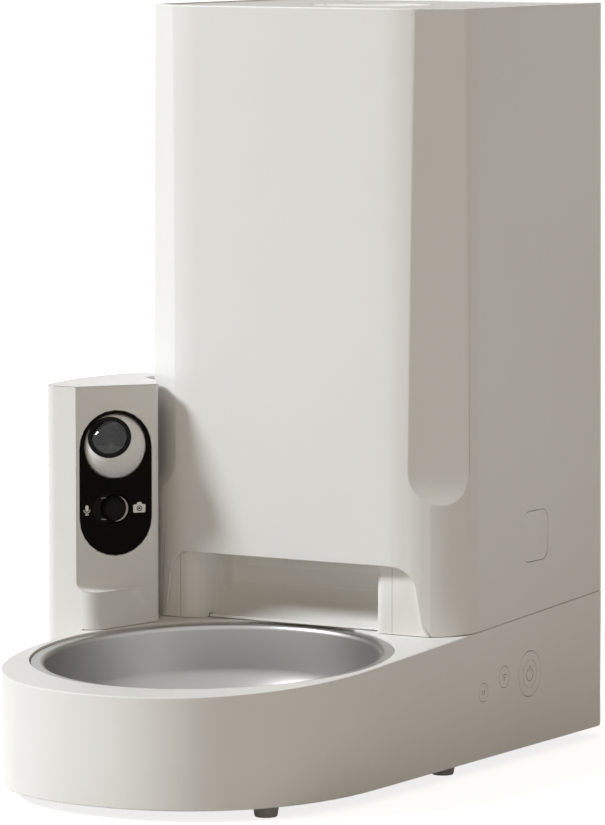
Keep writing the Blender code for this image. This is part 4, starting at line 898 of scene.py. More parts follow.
@dataclass(frozen=True)
class Dressing:
    """How one solid of the frame is finished: its finish and the radius of its edges."""

    node: str
    body: Body
    finish: Finish
    edge: float = 0.3 * MM
    segments: int = 2
    sharp_deg: float = 32.0

    def edge_width(self, edge: bmesh.types.BMEdge) -> float:
        """Width of the rounding that one edge of the solid gets, or zero where it isn't sharp."""
        return self.edge if edge.calc_face_angle(0.0) > math.radians(self.sharp_deg) else 0.0

    def weigh_edges(self, bm: bmesh.types.BMesh) -> float:
        """Writes each edge's share of the widest rounding, and returns the widest.

        Args:
            bm: The mesh.

        Returns:
            The widest rounding.
        """
        shares = bm.edges.layers.float.new("bevel_weight_edge")
        widths = {edge: self.edge_width(edge) for edge in bm.edges if len(edge.link_faces) == 2}
        widest = max(widths.values(), default=0.0)
        for edge, width in widths.items():
            edge[shares] = width / widest if widest else 0.0
        return widest

    def shape(self, frame: dict[str, Any]) -> bpy.types.Mesh:
        """Copies the solid, merges it, rounds its edges and smooths its curved faces.

        Args:
            frame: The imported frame.

        Returns:
            The mesh.
        """
        bm = bmesh.new()
        bm.from_mesh(frame["nodes"][self.node].data)
        bmesh.ops.remove_doubles(bm, verts=bm.verts, dist=0.002 * MM)
        bmesh.ops.dissolve_limit(bm, angle_limit=math.radians(0.5), verts=bm.verts, edges=bm.edges,
                                 delimit=set())
        bmesh.ops.dissolve_degenerate(bm, dist=0.002 * MM, edges=bm.edges)
        bm.normal_update()
        widest = self.weigh_edges(bm)
        mesh = bpy.data.meshes.new(self.node)
        bm.to_mesh(mesh)
        bm.free()
        mesh.materials.clear()
        mesh.materials.append(self.finish.material())
        work = add_object(shade(mesh, self.sharp_deg))
        if widest:
            bevel = work.modifiers.new("edges", "BEVEL")
            bevel.width = widest
            bevel.segments = self.segments
            bevel.limit_method = "WEIGHT"
            bevel.use_clamp_overlap = False
            bevel.harden_normals = True
            bevel.miter_outer = "MITER_ARC"
        weighted = work.modifiers.new("even_shading", "WEIGHTED_NORMAL")
        weighted.keep_sharp = True
        weighted.weight = 80
        return evaluated_mesh(work)

    def make(self, frame: dict[str, Any]) -> bpy.types.Object:
        """Makes the dressed piece, which replaces the solid.

        Args:
            frame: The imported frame.

        Returns:
            The piece.
        """
        piece = make_piece(f"{self.node}_dressed", self.shape(frame), self.finish, self.body)
        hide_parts(self.node)
        return piece


@dataclass(frozen=True)
class HopperDressing(Dressing):
    """The hopper: a tight edge along its seam with the base and a wide one at its top rim."""

    seam: float = 0.10 * MM
    rim: float = 0.6 * MM

    def edge_width(self, edge: bmesh.types.BMEdge) -> float:
        """Width by place: seam, rim or any other sharp edge.

        Args:
            edge: The edge.

        Returns:
            The width.
        """
        if not super().edge_width(edge):
            return 0.0
        first, second = (vert.co for vert in edge.verts)
        if all(abs(co.z - DECK_HEIGHT - DECK_RISE * (co.y - PLAN_ORIGIN.y)) < 1.0 * MM for co in (first, second)):
            return self.seam
        return self.rim if min(first.z, second.z) > 0.38 else self.edge


def shell_dressings() -> list[Dressing]:
    """Every solid that keeps its own shape, with its finish.

    Returns:
        The dressings.
    """
    made = [Dressing(f"foot_{row}_{side}", Body.BASE, RUBBER, 0.5 * MM)
            for row in ("front", "middle", "back") for side in ("left", "right")]
    rows: dict[Body, Sequence[tuple[Any, ...]]] = {
        Body.BASE: (("base_housing", SHELL, 0.12), ("bottom_cover", INNER, 0.25), ("drive_motor", MOTOR, 0.4),
                    ("main_board", BOARD, 0.1), ("power_inlet", INNER, 0.3), ("speaker", INNER, 0.3),
                    ("camera_tower", SHELL, 0.2), ("tower_bottom_cover", INNER, 0.2),
                    ("camera_panel", PANEL, 0.25, 3), ("camera_board", BOARD, 0.1), ("pan_motor", MOTOR, 0.3)),
        Body.HOPPER: (("hopper_shell", SHELL, 0.4, 3, 15.0), ("food_funnel", CHUTE, 0.2)),
        Body.RELEASE_LEFT: (("release_button_left", SHELL, 0.12),),
        Body.RELEASE_RIGHT: (("release_button_right", SHELL, 0.12),),
        # The lid carries painted shade through its darkened finish.
        Body.LID: (("lid", LID_PAINTED_SHADE, 0.3), ("lid_seal", SILICONE, 0.2), ("desiccant_box", CHUTE, 0.3)),
        Body.KNOB: (("lid_knob", SHELL, 0.3, 3),),
        Body.ROTOR: (("portion_wheel", SILICONE, 0.4, 3), ("wheel_shaft", MOTOR, 0.3)),
        Body.PAN: (("pan_bracket", INNER, 0.2),),
        Body.BALL: (("camera_ball", SHELL, 0.15),),
        Body.POWER: (("power_button", SHELL, 0.10),),
        Body.FEED: (("feed_button", SHELL, 0.10),),
        Body.RESET: (("reset_button", SHELL, 0.10),)}
    for body, solids in rows.items():
        for node, finish, edge, *more in solids:
            kind = HopperDressing if node == "hopper_shell" else Dressing
            made.append(kind(node, body, finish, edge * MM, *more))
    return made


def slab(outline: Sequence[Point], low: float, high: float, matrix: Matrix) -> bpy.types.Mesh:
    """A closed outline drawn out along z.

    Args:
        outline: Points of the outline in x and y.
        low: Where the slab starts along z.
        high: Where it ends.
        matrix: Where the outline's plane goes.

    Returns:
        The mesh.
    """
    bm = bmesh.new()
    rings = [[bm.verts.new((x, y, z)) for x, y in outline] for z in (low, high)]
    for ring in rings:
        bm.faces.new(ring)
    for index in range(len(outline)):
        after = (index + 1) % len(outline)
        bm.faces.new([rings[0][index], rings[0][after], rings[1][after], rings[1][index]])
    return mesh_from(bm, matrix)


@dataclass
class ChuteFront:
    """The chute housing with its front close behind the arch: flared recess, cove and moulded seams."""

    face: float = 77.9 * MM
    plain_face: float = 84.0 * MM
    arch_half: float = 72.35 * MM
    arch_top: float = 104.45 * MM
    arch_corner: float = 12.85 * MM
    toe: float = 82.5 * MM
    toe_height: float = 76.74 * MM
    toe_radius: float = 7.65 * MM
    foot: float = 69.8 * MM
    left: float = 53.0 * MM
    right: float = 47.0 * MM
    back: float = 108.0 * MM
    roof: float = 106.0 * MM
    wall: float = 2.5 * MM
    flare: float = 6.0 * MM
    left_flare: float = 14.0 * MM
    corner: float = 3.5 * MM
    cove: float = 24.5 * MM
    cove_foot: float = 71.5 * MM
    lap: float = 0.3 * MM
    seams: Sequence[float] = (-0.0675, 0.0577)
    seam_width: float = 0.22 * MM

    def plan(self) -> Matrix:
        """Frame of outlines drawn in the plan."""
        return Matrix.Translation(PLAN_ORIGIN)

    def front_view(self) -> Matrix:
        """Frame of outlines drawn from the front, with z towards the viewer."""
        return self.plan() @ Matrix.Rotation(math.radians(90), 4, "X")

    def side_view(self) -> Matrix:
        """Frame of outlines drawn from the right, with x towards the back."""
        return self.plan() @ SIDE_AXES

    def plug(self) -> bpy.types.Mesh:
        """Plate that fills the arch a small gap inside its edge.

        Returns:
            The mesh.
        """
        flank = arc((self.arch_half - self.arch_corner, self.arch_top - self.arch_corner), self.arch_corner, 90, 0)
        flank += [point for point in arc((self.toe, self.toe_height), self.toe_radius, 180, 265)
                  if point[1] > self.foot]
        flank.append((flank[-1][0], self.foot))
        outline = flank + [(-x, z) for x, z in reversed(flank)]
        return slab(outline, -self.plain_face, -self.face, self.front_view())

    def lining(self) -> bpy.types.Mesh:
        """Wall and roof beside the recess where it is wider than the plain one.

        Returns:
            The mesh.
        """
        outer = -self.left - self.wall
        outline = [(outer, self.face + self.flare), (-self.right + self.lap, self.face + self.flare),
                   (-self.right + self.lap, self.back + self.wall), (outer, self.back + self.wall)]
        return slab(outline, self.foot + 2 * MM, self.roof + self.wall, self.plan())

    def recess(self) -> bpy.types.Mesh:
        """The recess, flared at its mouth and round in its back corners.

        Returns:
            The mesh.
        """
        sides = []
        for side, flare in ((self.right, self.flare), (self.left, self.left_flare)):
            mouth = side + flare
            points = [(mouth, self.face - self.lap)]
            points += arc((mouth, self.face + flare), flare, 270, 180, 16)
            points += arc((side - self.corner, self.back - self.corner), self.corner, 0, 90)
            sides.append(points)
        outline = sides[0] + [(-x, y) for x, y in reversed(sides[1])]
        return slab(outline, self.foot - 4 * MM, self.roof, self.plan())

    def cove_block(self) -> bpy.types.Mesh:
        """Cove that leads food out of the recess's foot.

        Returns:
            The mesh.
        """
        toe = self.back - self.cove
        curve = arc((toe, self.cove_foot + self.cove), self.cove, 270, 360, 20)
        end = self.back + self.lap
        outline = [(toe, self.cove_foot - 1.2 * MM)] + curve + [(end, curve[-1][1]), (end, self.cove_foot)]
        return slab(outline, -self.left - self.lap, self.right + self.lap, self.side_view())

    def seam_marks(self) -> None:
        """Thin upright lines where the mould's parts met."""
        for index, x in enumerate(self.seams):
            line = stroke([(x, self.foot + 0.6 * MM), (x, self.arch_top - 1.2 * MM)], self.seam_width)
            place = self.front_view() @ Matrix.Translation((0, 0, -self.face))
            flat_mark(f"chute_seam_{index}", [line], 0.05 * MM, place, GREY_LINE, Body.BASE)

    def make(self, frame: dict[str, Any]) -> None:
        """Makes the housing in place of the plain solid.

        Args:
            frame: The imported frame.
        """
        work = add_object(Dressing("chute_housing", Body.BASE, CHUTE, 0.0).shape(frame))
        tools = [combine(work, operation, mesh) for operation, mesh in (
            ("UNION", self.plug()), ("UNION", self.lining()),
            ("DIFFERENCE", self.recess()), ("UNION", self.cove_block()))]
        round_edges(work, 0.3 * MM, 2, 40)
        mesh = shade(evaluated_mesh(work), 32)
        for tool in tools:
            bpy.data.objects.remove(tool)
        piece = make_piece("chute_housing_dressed", mesh, CHUTE, Body.BASE)
        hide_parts("chute_housing")
        self.seam_marks()


@dataclass
class SteelBowl:
    """The spun bowl: flat rim, rounded shoulder, curved wall and a floor with a faint centre rise."""

    rim_radius: float = 90.0 * MM
    rim_inner: float = 84.6 * MM
    rim_top: float = -1.0 * MM
    sheet: float = 1.0 * MM
    shoulder: float = 2.2 * MM
    floor_radius: float = 62.0 * MM
    depth: float = 41.0 * MM
    bend: float = 21.0 * MM
    rise: float = 0.6 * MM
    rise_radius: float = 14.0 * MM
    steps: int = 160

    def middle_line(self) -> list[Point]:
        """Line through the middle of the sheet, from the rim's edge to the axis.

        Returns:
            The points.
        """
        half = self.sheet / 2
        top = self.rim_top - half
        floor = self.rim_top - self.depth + half
        line: list[Point] = [(self.rim_radius - half, top)]
        bend_start = (self.floor_radius, floor + self.bend - half)
        wall_top = self.rim_inner
        line += [(wall_top + self.shoulder / 2, top)]
        line += arc((wall_top + self.shoulder / 2, top - self.shoulder), self.shoulder, 90, 176, 10)[1:]
        line += arc(bend_start, self.bend - half, -6, -90, 28)
        line += [(self.floor_radius * share, floor) for share in (0.8, 0.6, 0.45, 0.34)]
        for share in (1.0, 0.8, 0.6, 0.4, 0.2, 0.0):
            lift = self.rise * (0.5 + 0.5 * math.cos(math.pi * share))
            line.append((self.rise_radius * share, floor + lift))
        return line

    def profile(self) -> list[Point]:
        """The sheet's outline, with a rounded edge at the rim.

        Returns:
            The outline.
        """
        line = [Vector(point) for point in self.middle_line()]
        half = self.sheet / 2
        upper: list[Point] = []
        lower: list[Point] = []
        for index, here in enumerate(line):
            along = (line[min(index + 1, len(line) - 1)] - line[max(index - 1, 0)]).normalized()
            if index == len(line) - 1:
                along = Vector((-1, 0))
            side = Vector((along.y, -along.x)) * half
            upper.append(tuple(here + side))
            lower.append(tuple(here - side))
        edge = arc((self.rim_radius - half, self.rim_top - half), half, -90, 90, 8)[1:-1]
        upper[-1] = (0.0, upper[-1][1])
        lower[-1] = (0.0, lower[-1][1])
        return upper[::-1] + edge[::-1] + lower

    def make(self) -> None:
        """Makes the bowl in place of the plain solid."""
        mesh = turned_mesh(self.profile(), self.steps, deck_matrix(), 50)
        piece = make_piece("spun_bowl", mesh, STEEL, Body.BOWL)
        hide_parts("food_bowl")


@dataclass
class CameraEye:
    """Optics in the ball: tube with baffles, coated lenses, lamps and the front glass."""

    seat: float = 13.39 * MM
    glass_radius: float = 8.8 * MM
    glass_dome: float = 2.9 * MM
    glass_sheet: float = 1.0 * MM
    recess: float = 6.6 * MM
    steps: int = 72
    lamp_ring: float = 6.6 * MM
    lamp_radius: float = 0.75 * MM
    lamps: int = 8
    baffles: Sequence[float] = (8.4, 7.6, 6.8, 6.0, 5.2)

    def axis(self) -> Matrix:
        """Frame whose z runs out along the line of sight, from the lens seat."""
        out = ball_matrix() @ Matrix.Translation((0, -self.seat, 0))
        return out @ Matrix.Rotation(math.radians(90), 4, "X")

    def tube(self, frame: dict[str, Any]) -> None:
        """The barrel, hollowed in front for the baffles.

        Args:
            frame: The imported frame.
        """
        work = add_object(Dressing("lens_barrel", Body.BALL, LENS, 0.0).shape(frame))
        bore = self.glass_radius + 0.3 * MM
        profile = [(0, 2 * MM), (0, -self.recess), (bore, -self.recess), (bore, 2 * MM)]
        cutter = combine(work, "DIFFERENCE", turned_mesh(profile, self.steps, self.axis()))
        round_edges(work, 0.2 * MM)
        mesh = shade(evaluated_mesh(work), 40)
        bpy.data.objects.remove(cutter)
        piece = make_piece("lens_tube", mesh, LENS, Body.BALL)
        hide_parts("lens_barrel")

    def baffle_cone(self) -> None:
        """Stepped cone that narrows towards the inner lens."""
        outer = self.glass_radius + 0.05 * MM
        profile: list[Point] = [(outer, -1.9 * MM)]
        depth = 1.9 * MM
        step = (self.recess - 0.1 * MM - depth) / len(self.baffles)
        for radius in self.baffles:
            profile.append((radius * MM, -depth))
            depth += step
            profile.append(((radius - 0.5) * MM, -depth))
        profile.append((outer, -depth))
        make_piece("lens_baffles", turned_mesh(profile, self.steps, self.axis(), 20), LENS, Body.BALL)

    def inner_lens(self) -> None:
        """Domed lens at the bottom of the baffles, with its retaining ring."""
        base = -self.recess + 0.1 * MM
        dome = [(4.4 * MM * share, base + 2.6 * MM * math.sqrt(max(0.0, 1 - share ** 2)))
                for share in (0, 0.15, 0.3, 0.45, 0.6, 0.75, 0.88, 0.97, 1.0)]
        make_piece("inner_lens", turned_mesh(dome + [(0, base)], 48, self.axis(), 60), OPTIC, Body.BALL)
        ring = arc((4.9 * MM, base + 0.5 * MM), 0.42 * MM, 0, 337.5, 15)
        make_piece("lens_ring", turned_mesh(ring, 48, self.axis(), 60), LENS, Body.BALL)

    def front_glass(self) -> None:
        """Thin domed cover glass."""
        outer = self.glass_radius
        low = -1.2 * MM
        rise = self.glass_dome
        shares = [index / 10 for index in range(11)]
        top = [(outer * share, rise * (1 - share ** 2)) for share in shares]
        under = [((outer - 0.9 * MM) * share, low + 0.2 * MM + (rise - self.glass_sheet) * (1 - share ** 2))
                 for share in shares]
        profile = top + [(outer, low)] + [(outer - 0.9 * MM, low)] + under[::-1]
        piece = make_piece("cover_glass", turned_mesh(profile, self.steps, self.axis(), 50), GLASS, Body.BALL)
        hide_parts("lens_glass")

    def lamp_circle(self) -> None:
        """Small night lamps round the inner lens, set out by a node tree."""
        angles = [2 * math.pi * (index + 0.5) / self.lamps for index in range(self.lamps)]
        points = [(self.lamp_ring * math.cos(angle), self.lamp_ring * math.sin(angle), -3.9 * MM)
                  for angle in angles]
        sizes = (self.lamp_radius, self.lamp_radius)
        Repeats.place("night_lamps", "domed_studs", points, self.axis(), sizes, OPTIC, Body.BALL)

    def make(self, frame: dict[str, Any]) -> None:
        """Makes every piece of the eye.

        Args:
            frame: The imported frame.
        """
        self.tube(frame)
        self.baffle_cone()
        self.inner_lens()
        self.lamp_circle()
        self.front_glass()


class Repeats:
    """Node trees that place screws, studs and blocks on given points."""

    @staticmethod
    def _tree(name: str, sizes: dict[str, float]) -> tuple[Graph, Any, Any]:
        """Starts a geometry tree with a geometry input, named sizes and a material.

        Args:
            name: Its name.
            sizes: Named sizes.

        Returns:
            The graph, the tree's input node and its output node.
        """
        tree = bpy.data.node_groups.new(name, "GeometryNodeTree")
        tree.interface.new_socket(name="Geometry", in_out="INPUT", socket_type="NodeSocketGeometry")
        for label, value in sizes.items():
            socket = tree.interface.new_socket(name=label, in_out="INPUT", socket_type="NodeSocketFloat")
            socket.default_value = value
        tree.interface.new_socket(name="Material", in_out="INPUT", socket_type="NodeSocketMaterial")
        tree.interface.new_socket(name="Geometry", in_out="OUTPUT", socket_type="NodeSocketGeometry")
        graph = Graph(tree)
        return graph, graph.add("NodeGroupInput"), graph.add("NodeGroupOutput")

    @staticmethod
    def _finish_tree(graph: Graph, given: Any, out: Any, unit: bpy.types.NodeSocket) -> None:
        """Places the unit on every point, realises it and sets its material.

        Args:
            graph: The graph of the material or tree.
            given: The tree's input node.
            out: The tree's output node.
            unit: What is copied.
        """
        placed = graph.add("GeometryNodeInstanceOnPoints", {
            "Points": given.outputs["Geometry"], "Instance": unit})
        real = graph.add("GeometryNodeRealizeInstances", {"Geometry": placed.outputs["Instances"]})
        look = graph.add("GeometryNodeSetMaterial", {
            "Geometry": real.outputs["Geometry"], "Material": given.outputs["Material"]})
        graph.link(look.outputs["Geometry"], out.inputs["Geometry"])

    @classmethod
    def _screw_heads(cls) -> bpy.types.NodeTree:
        """Pan head with a cross recess.

        Returns:
            The tree.
        """
        graph, given, out = cls._tree("screw_heads", {
            "Head Radius": 2.6 * MM, "Head Height": 1.4 * MM, "Slot Width": 0.7 * MM, "Slot Length": 3.0 * MM,
            "Slot Depth": 0.8 * MM})
        head = graph.add("GeometryNodeMeshCylinder", {
            "Vertices": 28, "Side Segments": 1, "Radius": given.outputs["Head Radius"],
            "Depth": given.outputs["Head Height"]})
        tall = graph.math("MULTIPLY", given.outputs["Slot Depth"], 2.0)
        lift = graph.vector(z=graph.math("MULTIPLY", given.outputs["Head Height"], 0.5))
        bars = []
        for first, second in (("Slot Length", "Slot Width"), ("Slot Width", "Slot Length")):
            size = graph.vector(given.outputs[first], given.outputs[second], tall)
            cube = graph.add("GeometryNodeMeshCube", {"Size": size})
            moved = graph.add("GeometryNodeTransform", {"Geometry": cube.outputs["Mesh"], "Translation": lift})
            bars.append(moved.outputs["Geometry"])
        cross = graph.add("GeometryNodeMeshBoolean", {"Mesh 1": head.outputs["Mesh"]}, operation="DIFFERENCE")
        for bar in bars:
            graph.link(bar, cross.inputs["Mesh 2"])
        cls._finish_tree(graph, given, out, cross.outputs["Mesh"])
        return graph.tree

    @classmethod
    def _domed_studs(cls) -> bpy.types.NodeTree:
        """Round-topped stud.

        Returns:
            The tree.
        """
        graph, given, out = cls._tree("domed_studs", {"Stud Radius": 1.0 * MM, "Stud Height": 1.0 * MM})
        ball = graph.add("GeometryNodeMeshUVSphere", {
            "Segments": 20, "Rings": 12, "Radius": given.outputs["Stud Radius"]})
        ratio = graph.math("DIVIDE", given.outputs["Stud Height"], given.outputs["Stud Radius"])
        size = graph.vector(1.0, 1.0, ratio)
        stud = graph.add("GeometryNodeTransform", {"Geometry": ball.outputs["Mesh"], "Scale": size})
        cls._finish_tree(graph, given, out, stud.outputs["Geometry"])
        return graph.tree

    @classmethod
    def _blocks(cls) -> bpy.types.NodeTree:
        """Rectangular block, for chip packages.

        Returns:
            The tree.
        """
        graph, given, out = cls._tree("blocks", {"Length": 4.0 * MM, "Width": 1.0 * MM, "Height": 1.0 * MM})
        size = graph.vector(given.outputs["Length"], given.outputs["Width"], given.outputs["Height"])
        cube = graph.add("GeometryNodeMeshCube", {"Size": size})
        cls._finish_tree(graph, given, out, cube.outputs["Mesh"])
        return graph.tree

    @classmethod
    def place(cls, name: str, kind: str, points: Sequence[Sequence[float]], matrix: Matrix,
              sizes: Sequence[float], finish: Finish, body: Body, edge: float = 0.0) -> None:
        """Runs a tree on the points and keeps the result as one plain mesh.

        Args:
            name: The piece's name.
            kind: The tree's name.
            points: Where each copy stands, in the matrix's frame.
            matrix: The frame in which the copies stand along z.
            sizes: The tree's sizes in order.
            finish: The finish.
            body: The body that the copies ride on.
            edge: Radius of their edges, or zero.
        """
        tree = bpy.data.node_groups.get(kind) or getattr(cls, f"_{kind}")()
        mesh = bpy.data.meshes.new(name)
        mesh.from_pydata([tuple(point) for point in points], [], [])
        work = add_object(mesh)
        modifier = work.modifiers.new("repeat", "NODES")
        modifier.node_group = tree
        inputs = [item for item in tree.interface.items_tree if item.in_out == "INPUT" and item.name != "Geometry"]
        for item, value in zip(inputs, (*sizes, finish.material())):
            modifier[item.identifier] = value
        if edge:
            round_edges(work, edge)
        made = evaluated_mesh(work)
        made.transform(matrix)
        make_piece(name, shade(made, 40), finish, body)

    @classmethod
    def screws(cls, name: str, points: Sequence[Sequence[float]], matrix: Matrix, radius: float) -> None:
        """Screw heads on the points, facing z of the matrix, on the base."""
        sizes = [radius * share for share in (1.0, 0.5, 0.28, 1.2, 0.3)]
        cls.place(name, "screw_heads", points, matrix, sizes, MOTOR, Body.BASE, radius * 0.08)


@dataclass
class PanelFittings:
    """Marks on the black panel, the slider with its dished knob and the slot's lip."""

    height: float = 127.9 * MM
    ink: float = 0.05 * MM
    knob_radius: float = 7.1 * MM
    travel: float = 5.0 * MM

    def face(self, along: float, height: float) -> Matrix:
        """Frame on the panel whose x runs along it, y up and z out of it."""
        return lens_matrix(height, along) @ Matrix.Rotation(math.radians(90), 4, "X")

    def microphone(self) -> None:
        """Sign of a microphone beside the slot."""
        capsule = arc((0, 1.35 * MM), 0.85 * MM, 0, 180, 12) + arc((0, -0.15 * MM), 0.85 * MM, 180, 360, 12)
        cradle = stroke(arc((0, -0.1 * MM), 1.65 * MM, 180, 360, 20), 0.42 * MM)
        stem = rectangle(-0.22 * MM, -1.7 * MM, 0.22 * MM, -2.6 * MM)
        foot = rectangle(-1.0 * MM, -2.5 * MM, 1.0 * MM, -2.95 * MM)
        place = self.face(-15.6 * MM, self.height + 0.1 * MM)
        for label, loop in (("capsule", capsule), ("cradle", cradle), ("stem", stem), ("foot", foot)):
            flat_mark(f"microphone_{label}", [loop], self.ink, place, WHITE_INK, Body.BASE)

    def camera(self) -> None:
        """Sign of a camera beside the slot, with a hole that shows its lens."""
        half = 3.3 * MM
        low = -2.5 * MM
        high = 1.7 * MM
        corner = 0.7 * MM
        body = arc((half - corner, low + corner), corner, -90, 0, 5)
        body += arc((half - corner, high - corner), corner, 0, 90, 5)
        body += [(1.5 * MM, high), (1.0 * MM, high + 1.1 * MM), (-1.0 * MM, high + 1.1 * MM), (-1.5 * MM, high)]
        body += arc((corner - half, high - corner), corner, 90, 180, 5)
        body += arc((corner - half, low + corner), corner, 180, 270, 5)
        hole = arc((0, -0.35 * MM), 1.45 * MM, 0, 345, 23)
        ring = [arc((0, -0.35 * MM), 1.05 * MM, 0, 345, 23), arc((0, -0.35 * MM), 0.62 * MM, 0, 345, 23)]
        place = self.face(12.6 * MM, self.height)
        flat_mark("camera_sign", [body, hole], self.ink, place, WHITE_INK, Body.BASE)
        flat_mark("camera_sign_lens", ring, self.ink, place, WHITE_INK, Body.BASE)

    def knob(self) -> None:
        """Slide knob with a raised rim round a shallow dish, a painted highlight on its edge, painted highlights on
        the slot's rim, and its plate.
        """
        radius = self.knob_radius
        back = -2.2 * MM
        rim = 0.35 * MM
        profile = [(0, -0.95 * MM), (radius * 0.45, -0.94 * MM), (radius * 0.74, -0.88 * MM),
                   (radius * 0.84, -0.55 * MM), (radius * 0.90, -0.08 * MM)]
        profile += arc((radius - rim * 1.2, rim * 0.2), rim * 0.5, 150, 20, 6)
        profile += [(radius, -rim), (radius, back), (0, back)]
        place = self.face(0, self.height)
        piece = make_piece("slider_knob", turned_mesh(profile, 72, place, 40), SLIDER, Body.SLIDER)
        # Painted highlight: a pale crescent on the knob's edge, where its dish wall catches the light.
        edge = radius * 0.95
        crescent = arc((0, 0), edge, -95, 70, 24) + arc((-1.3 * MM, 0.25 * MM), edge, 70, -95, 24)
        flat_mark("knob_edge_glint", [crescent], self.ink, place @ Matrix.Translation((0, 0, 0.12 * MM)), PAINTED_HIGHLIGHT,
                  Body.SLIDER)
        # Painted highlights: two short pale strokes where the slot's rim catches the light.
        for label, sign in (("high", 1), ("low", -1)):
            glint = stroke([(x * MM, sign * y * MM) for x, y in ((-7.3, 5.2), (-6.0, 5.5), (-4.6, 5.5))], 0.45 * MM)
            flat_mark(f"slot_glint_{label}", [glint], self.ink, place @ Matrix.Translation((0, 0, -1.92 * MM)),
                      PAINTED_HIGHLIGHT, Body.SLIDER)
        back_place = place @ Matrix.Translation((0, 0, -2.45 * MM))
        flat_mark("slider_plate", [pill(0.0, self.travel, 8.2 * MM, 16)], 1.0 * MM, back_place, SLIDER, Body.SLIDER)
        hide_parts("privacy_slider")

    def slot_lip(self) -> None:
        """Thin rounded lip round the slider's slot."""
        half = self.travel / 2
        rings = [pill(-half, half, radius, 24) for radius in (7.95 * MM, 7.42 * MM)]
        flat_mark("slot_lip", rings, 0.16 * MM, self.face(0, self.height), PANEL, Body.BASE)

    def make(self) -> None:
        """Makes every fitting of the panel."""
        self.microphone()
        self.camera()
        self.knob()
        self.slot_lip()


@dataclass
class SideControls:
    """Signs on the three side buttons."""

    face_x: float = 0.10911
    line: float = 0.45 * MM
    depth: float = 0.06 * MM

    def plane(self, y: float, z: float) -> Matrix:
        """Frame on the right side: x towards the back, y up, z outwards."""
        return Matrix.Translation((self.face_x, y, z)) @ SIDE_AXES

    def make(self) -> None:
        """Makes the usual sign of a power switch, two arcs of a signal over a dot, and two short bars."""
        half = self.line / 2
        power = self.plane(0.091, 0.043)
        feed = self.plane(0.064, 0.0447)
        reset = self.plane(0.0425, 0.0395)
        signs = [
            ("power_sign_ring", Body.POWER, power, stroke(arc((0, -0.3 * MM), 3.4 * MM, 118, 422, 40), self.line)),
            ("power_sign_bar", Body.POWER, power, rectangle(-half, 1.2 * MM, half, 4.4 * MM))]
        for index, radius in enumerate((1.5, 2.9)):
            loop = stroke(arc((0, -1.6 * MM), radius * MM, 45, 135, 14), self.line)
            signs.append((f"feed_sign_arc_{index}", Body.FEED, feed, loop))
        signs.append(("feed_sign_dot", Body.FEED, feed, arc((0, -1.5 * MM), 0.4 * MM, 0, 345, 23)))
        for index, shift in enumerate((-0.8 * MM, 0.8 * MM)):
            bar = rectangle(shift - half, -1.3 * MM, shift + half, 1.3 * MM)
            signs.append((f"reset_sign_bar_{index}", Body.RESET, reset, bar))
        for name, body, place, loop in signs:
            flat_mark(name, [loop], self.depth, place, GREY_LINE, body)


@dataclass
class Fastenings:
    """Screws under the base and in the gearbox."""

    under: float = 5.5 * MM

    def bottom(self) -> None:
        """Screws in the bottom cover and in the tower's cover."""
        down = Matrix.Rotation(math.radians(180), 4, "X")
        sites = [(x, y) for x in (-78, 78) for y in (10, 120, 200)] + [(-30, -96), (30, -96), (0, 160)]
        points = [(PLAN_ORIGIN.x + x * MM, -(PLAN_ORIGIN.y + y * MM), -self.under + 0.2 * MM) for x, y in sites]
        Repeats.screws("cover_screws", points, down, 2.6 * MM)
        low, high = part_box("tower_bottom_cover")
        middle = (low.x + high.x) / 2
        ends = [(middle, -y, -self.under + 0.2 * MM) for y in (low.y + 8 * MM, high.y - 8 * MM)]
        Repeats.screws("tower_cover_screws", ends, down, 1.8 * MM)

    def motor(self) -> None:
        """Screws in the gearbox's front corners."""
        low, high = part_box("drive_motor")
        back = Matrix.Rotation(math.radians(90), 4, "X") @ Matrix.Rotation(math.radians(180), 4, "Y")
        points = [(-x, z, high.y + 0.4 * MM) for x in (PLAN_ORIGIN.x - 19 * MM, PLAN_ORIGIN.x + 19 * MM)
                  for z in (low.z + 4 * MM, high.z - 4 * MM)]
        Repeats.screws("gearbox_screws", points, back, 2.0 * MM)

    def make(self) -> None:
        """Makes every fastening."""
        self.bottom()
        self.motor()


@dataclass
class Electronics:
    """Chips, capacitors and terminals on the boards."""

    def main_board(self) -> None:
        """Capacitors and a terminal row on the main board."""
        low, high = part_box("main_board")
        top = low.z + 1.6 * MM
        caps = [(low.x + share * (high.x - low.x), high.y - 7 * MM, top + 1.8 * MM)
                for share in (0.52, 0.6, 0.68, 0.9)]
        Repeats.place("board_capacitors", "domed_studs", caps, Matrix.Identity(4), (2.6 * MM, 3.6 * MM), MOTOR,
                      Body.BASE)
        parts = [(low.x + (0.30 + 0.07 * index) * (high.x - low.x), low.y + 5 * MM, top + 0.5 * MM)
                 for index in range(8)]
        Repeats.place("board_chips", "blocks", parts, Matrix.Identity(4), (3.4 * MM, 2.0 * MM, 1.2 * MM), CHIP,
                      Body.BASE, 0.18 * MM)

    def camera_board(self) -> None:
        """Small parts beside the sensor chip, in the lens face's frame."""
        place = lens_matrix(106.0 * MM)
        points = [(x * MM, 5.2 * MM, z * MM) for x in (-10, -7.6, 7.6, 10) for z in (-7.5, -2.5, 2.5, 7.5)]
        Repeats.place("camera_board_chips", "blocks", points, place, (1.4 * MM, 1.0 * MM, 2.0 * MM), CHIP,
                      Body.BASE, 0.15 * MM)

    def make(self) -> None:
        """Makes the parts of both boards."""
        self.main_board()
        self.camera_board()


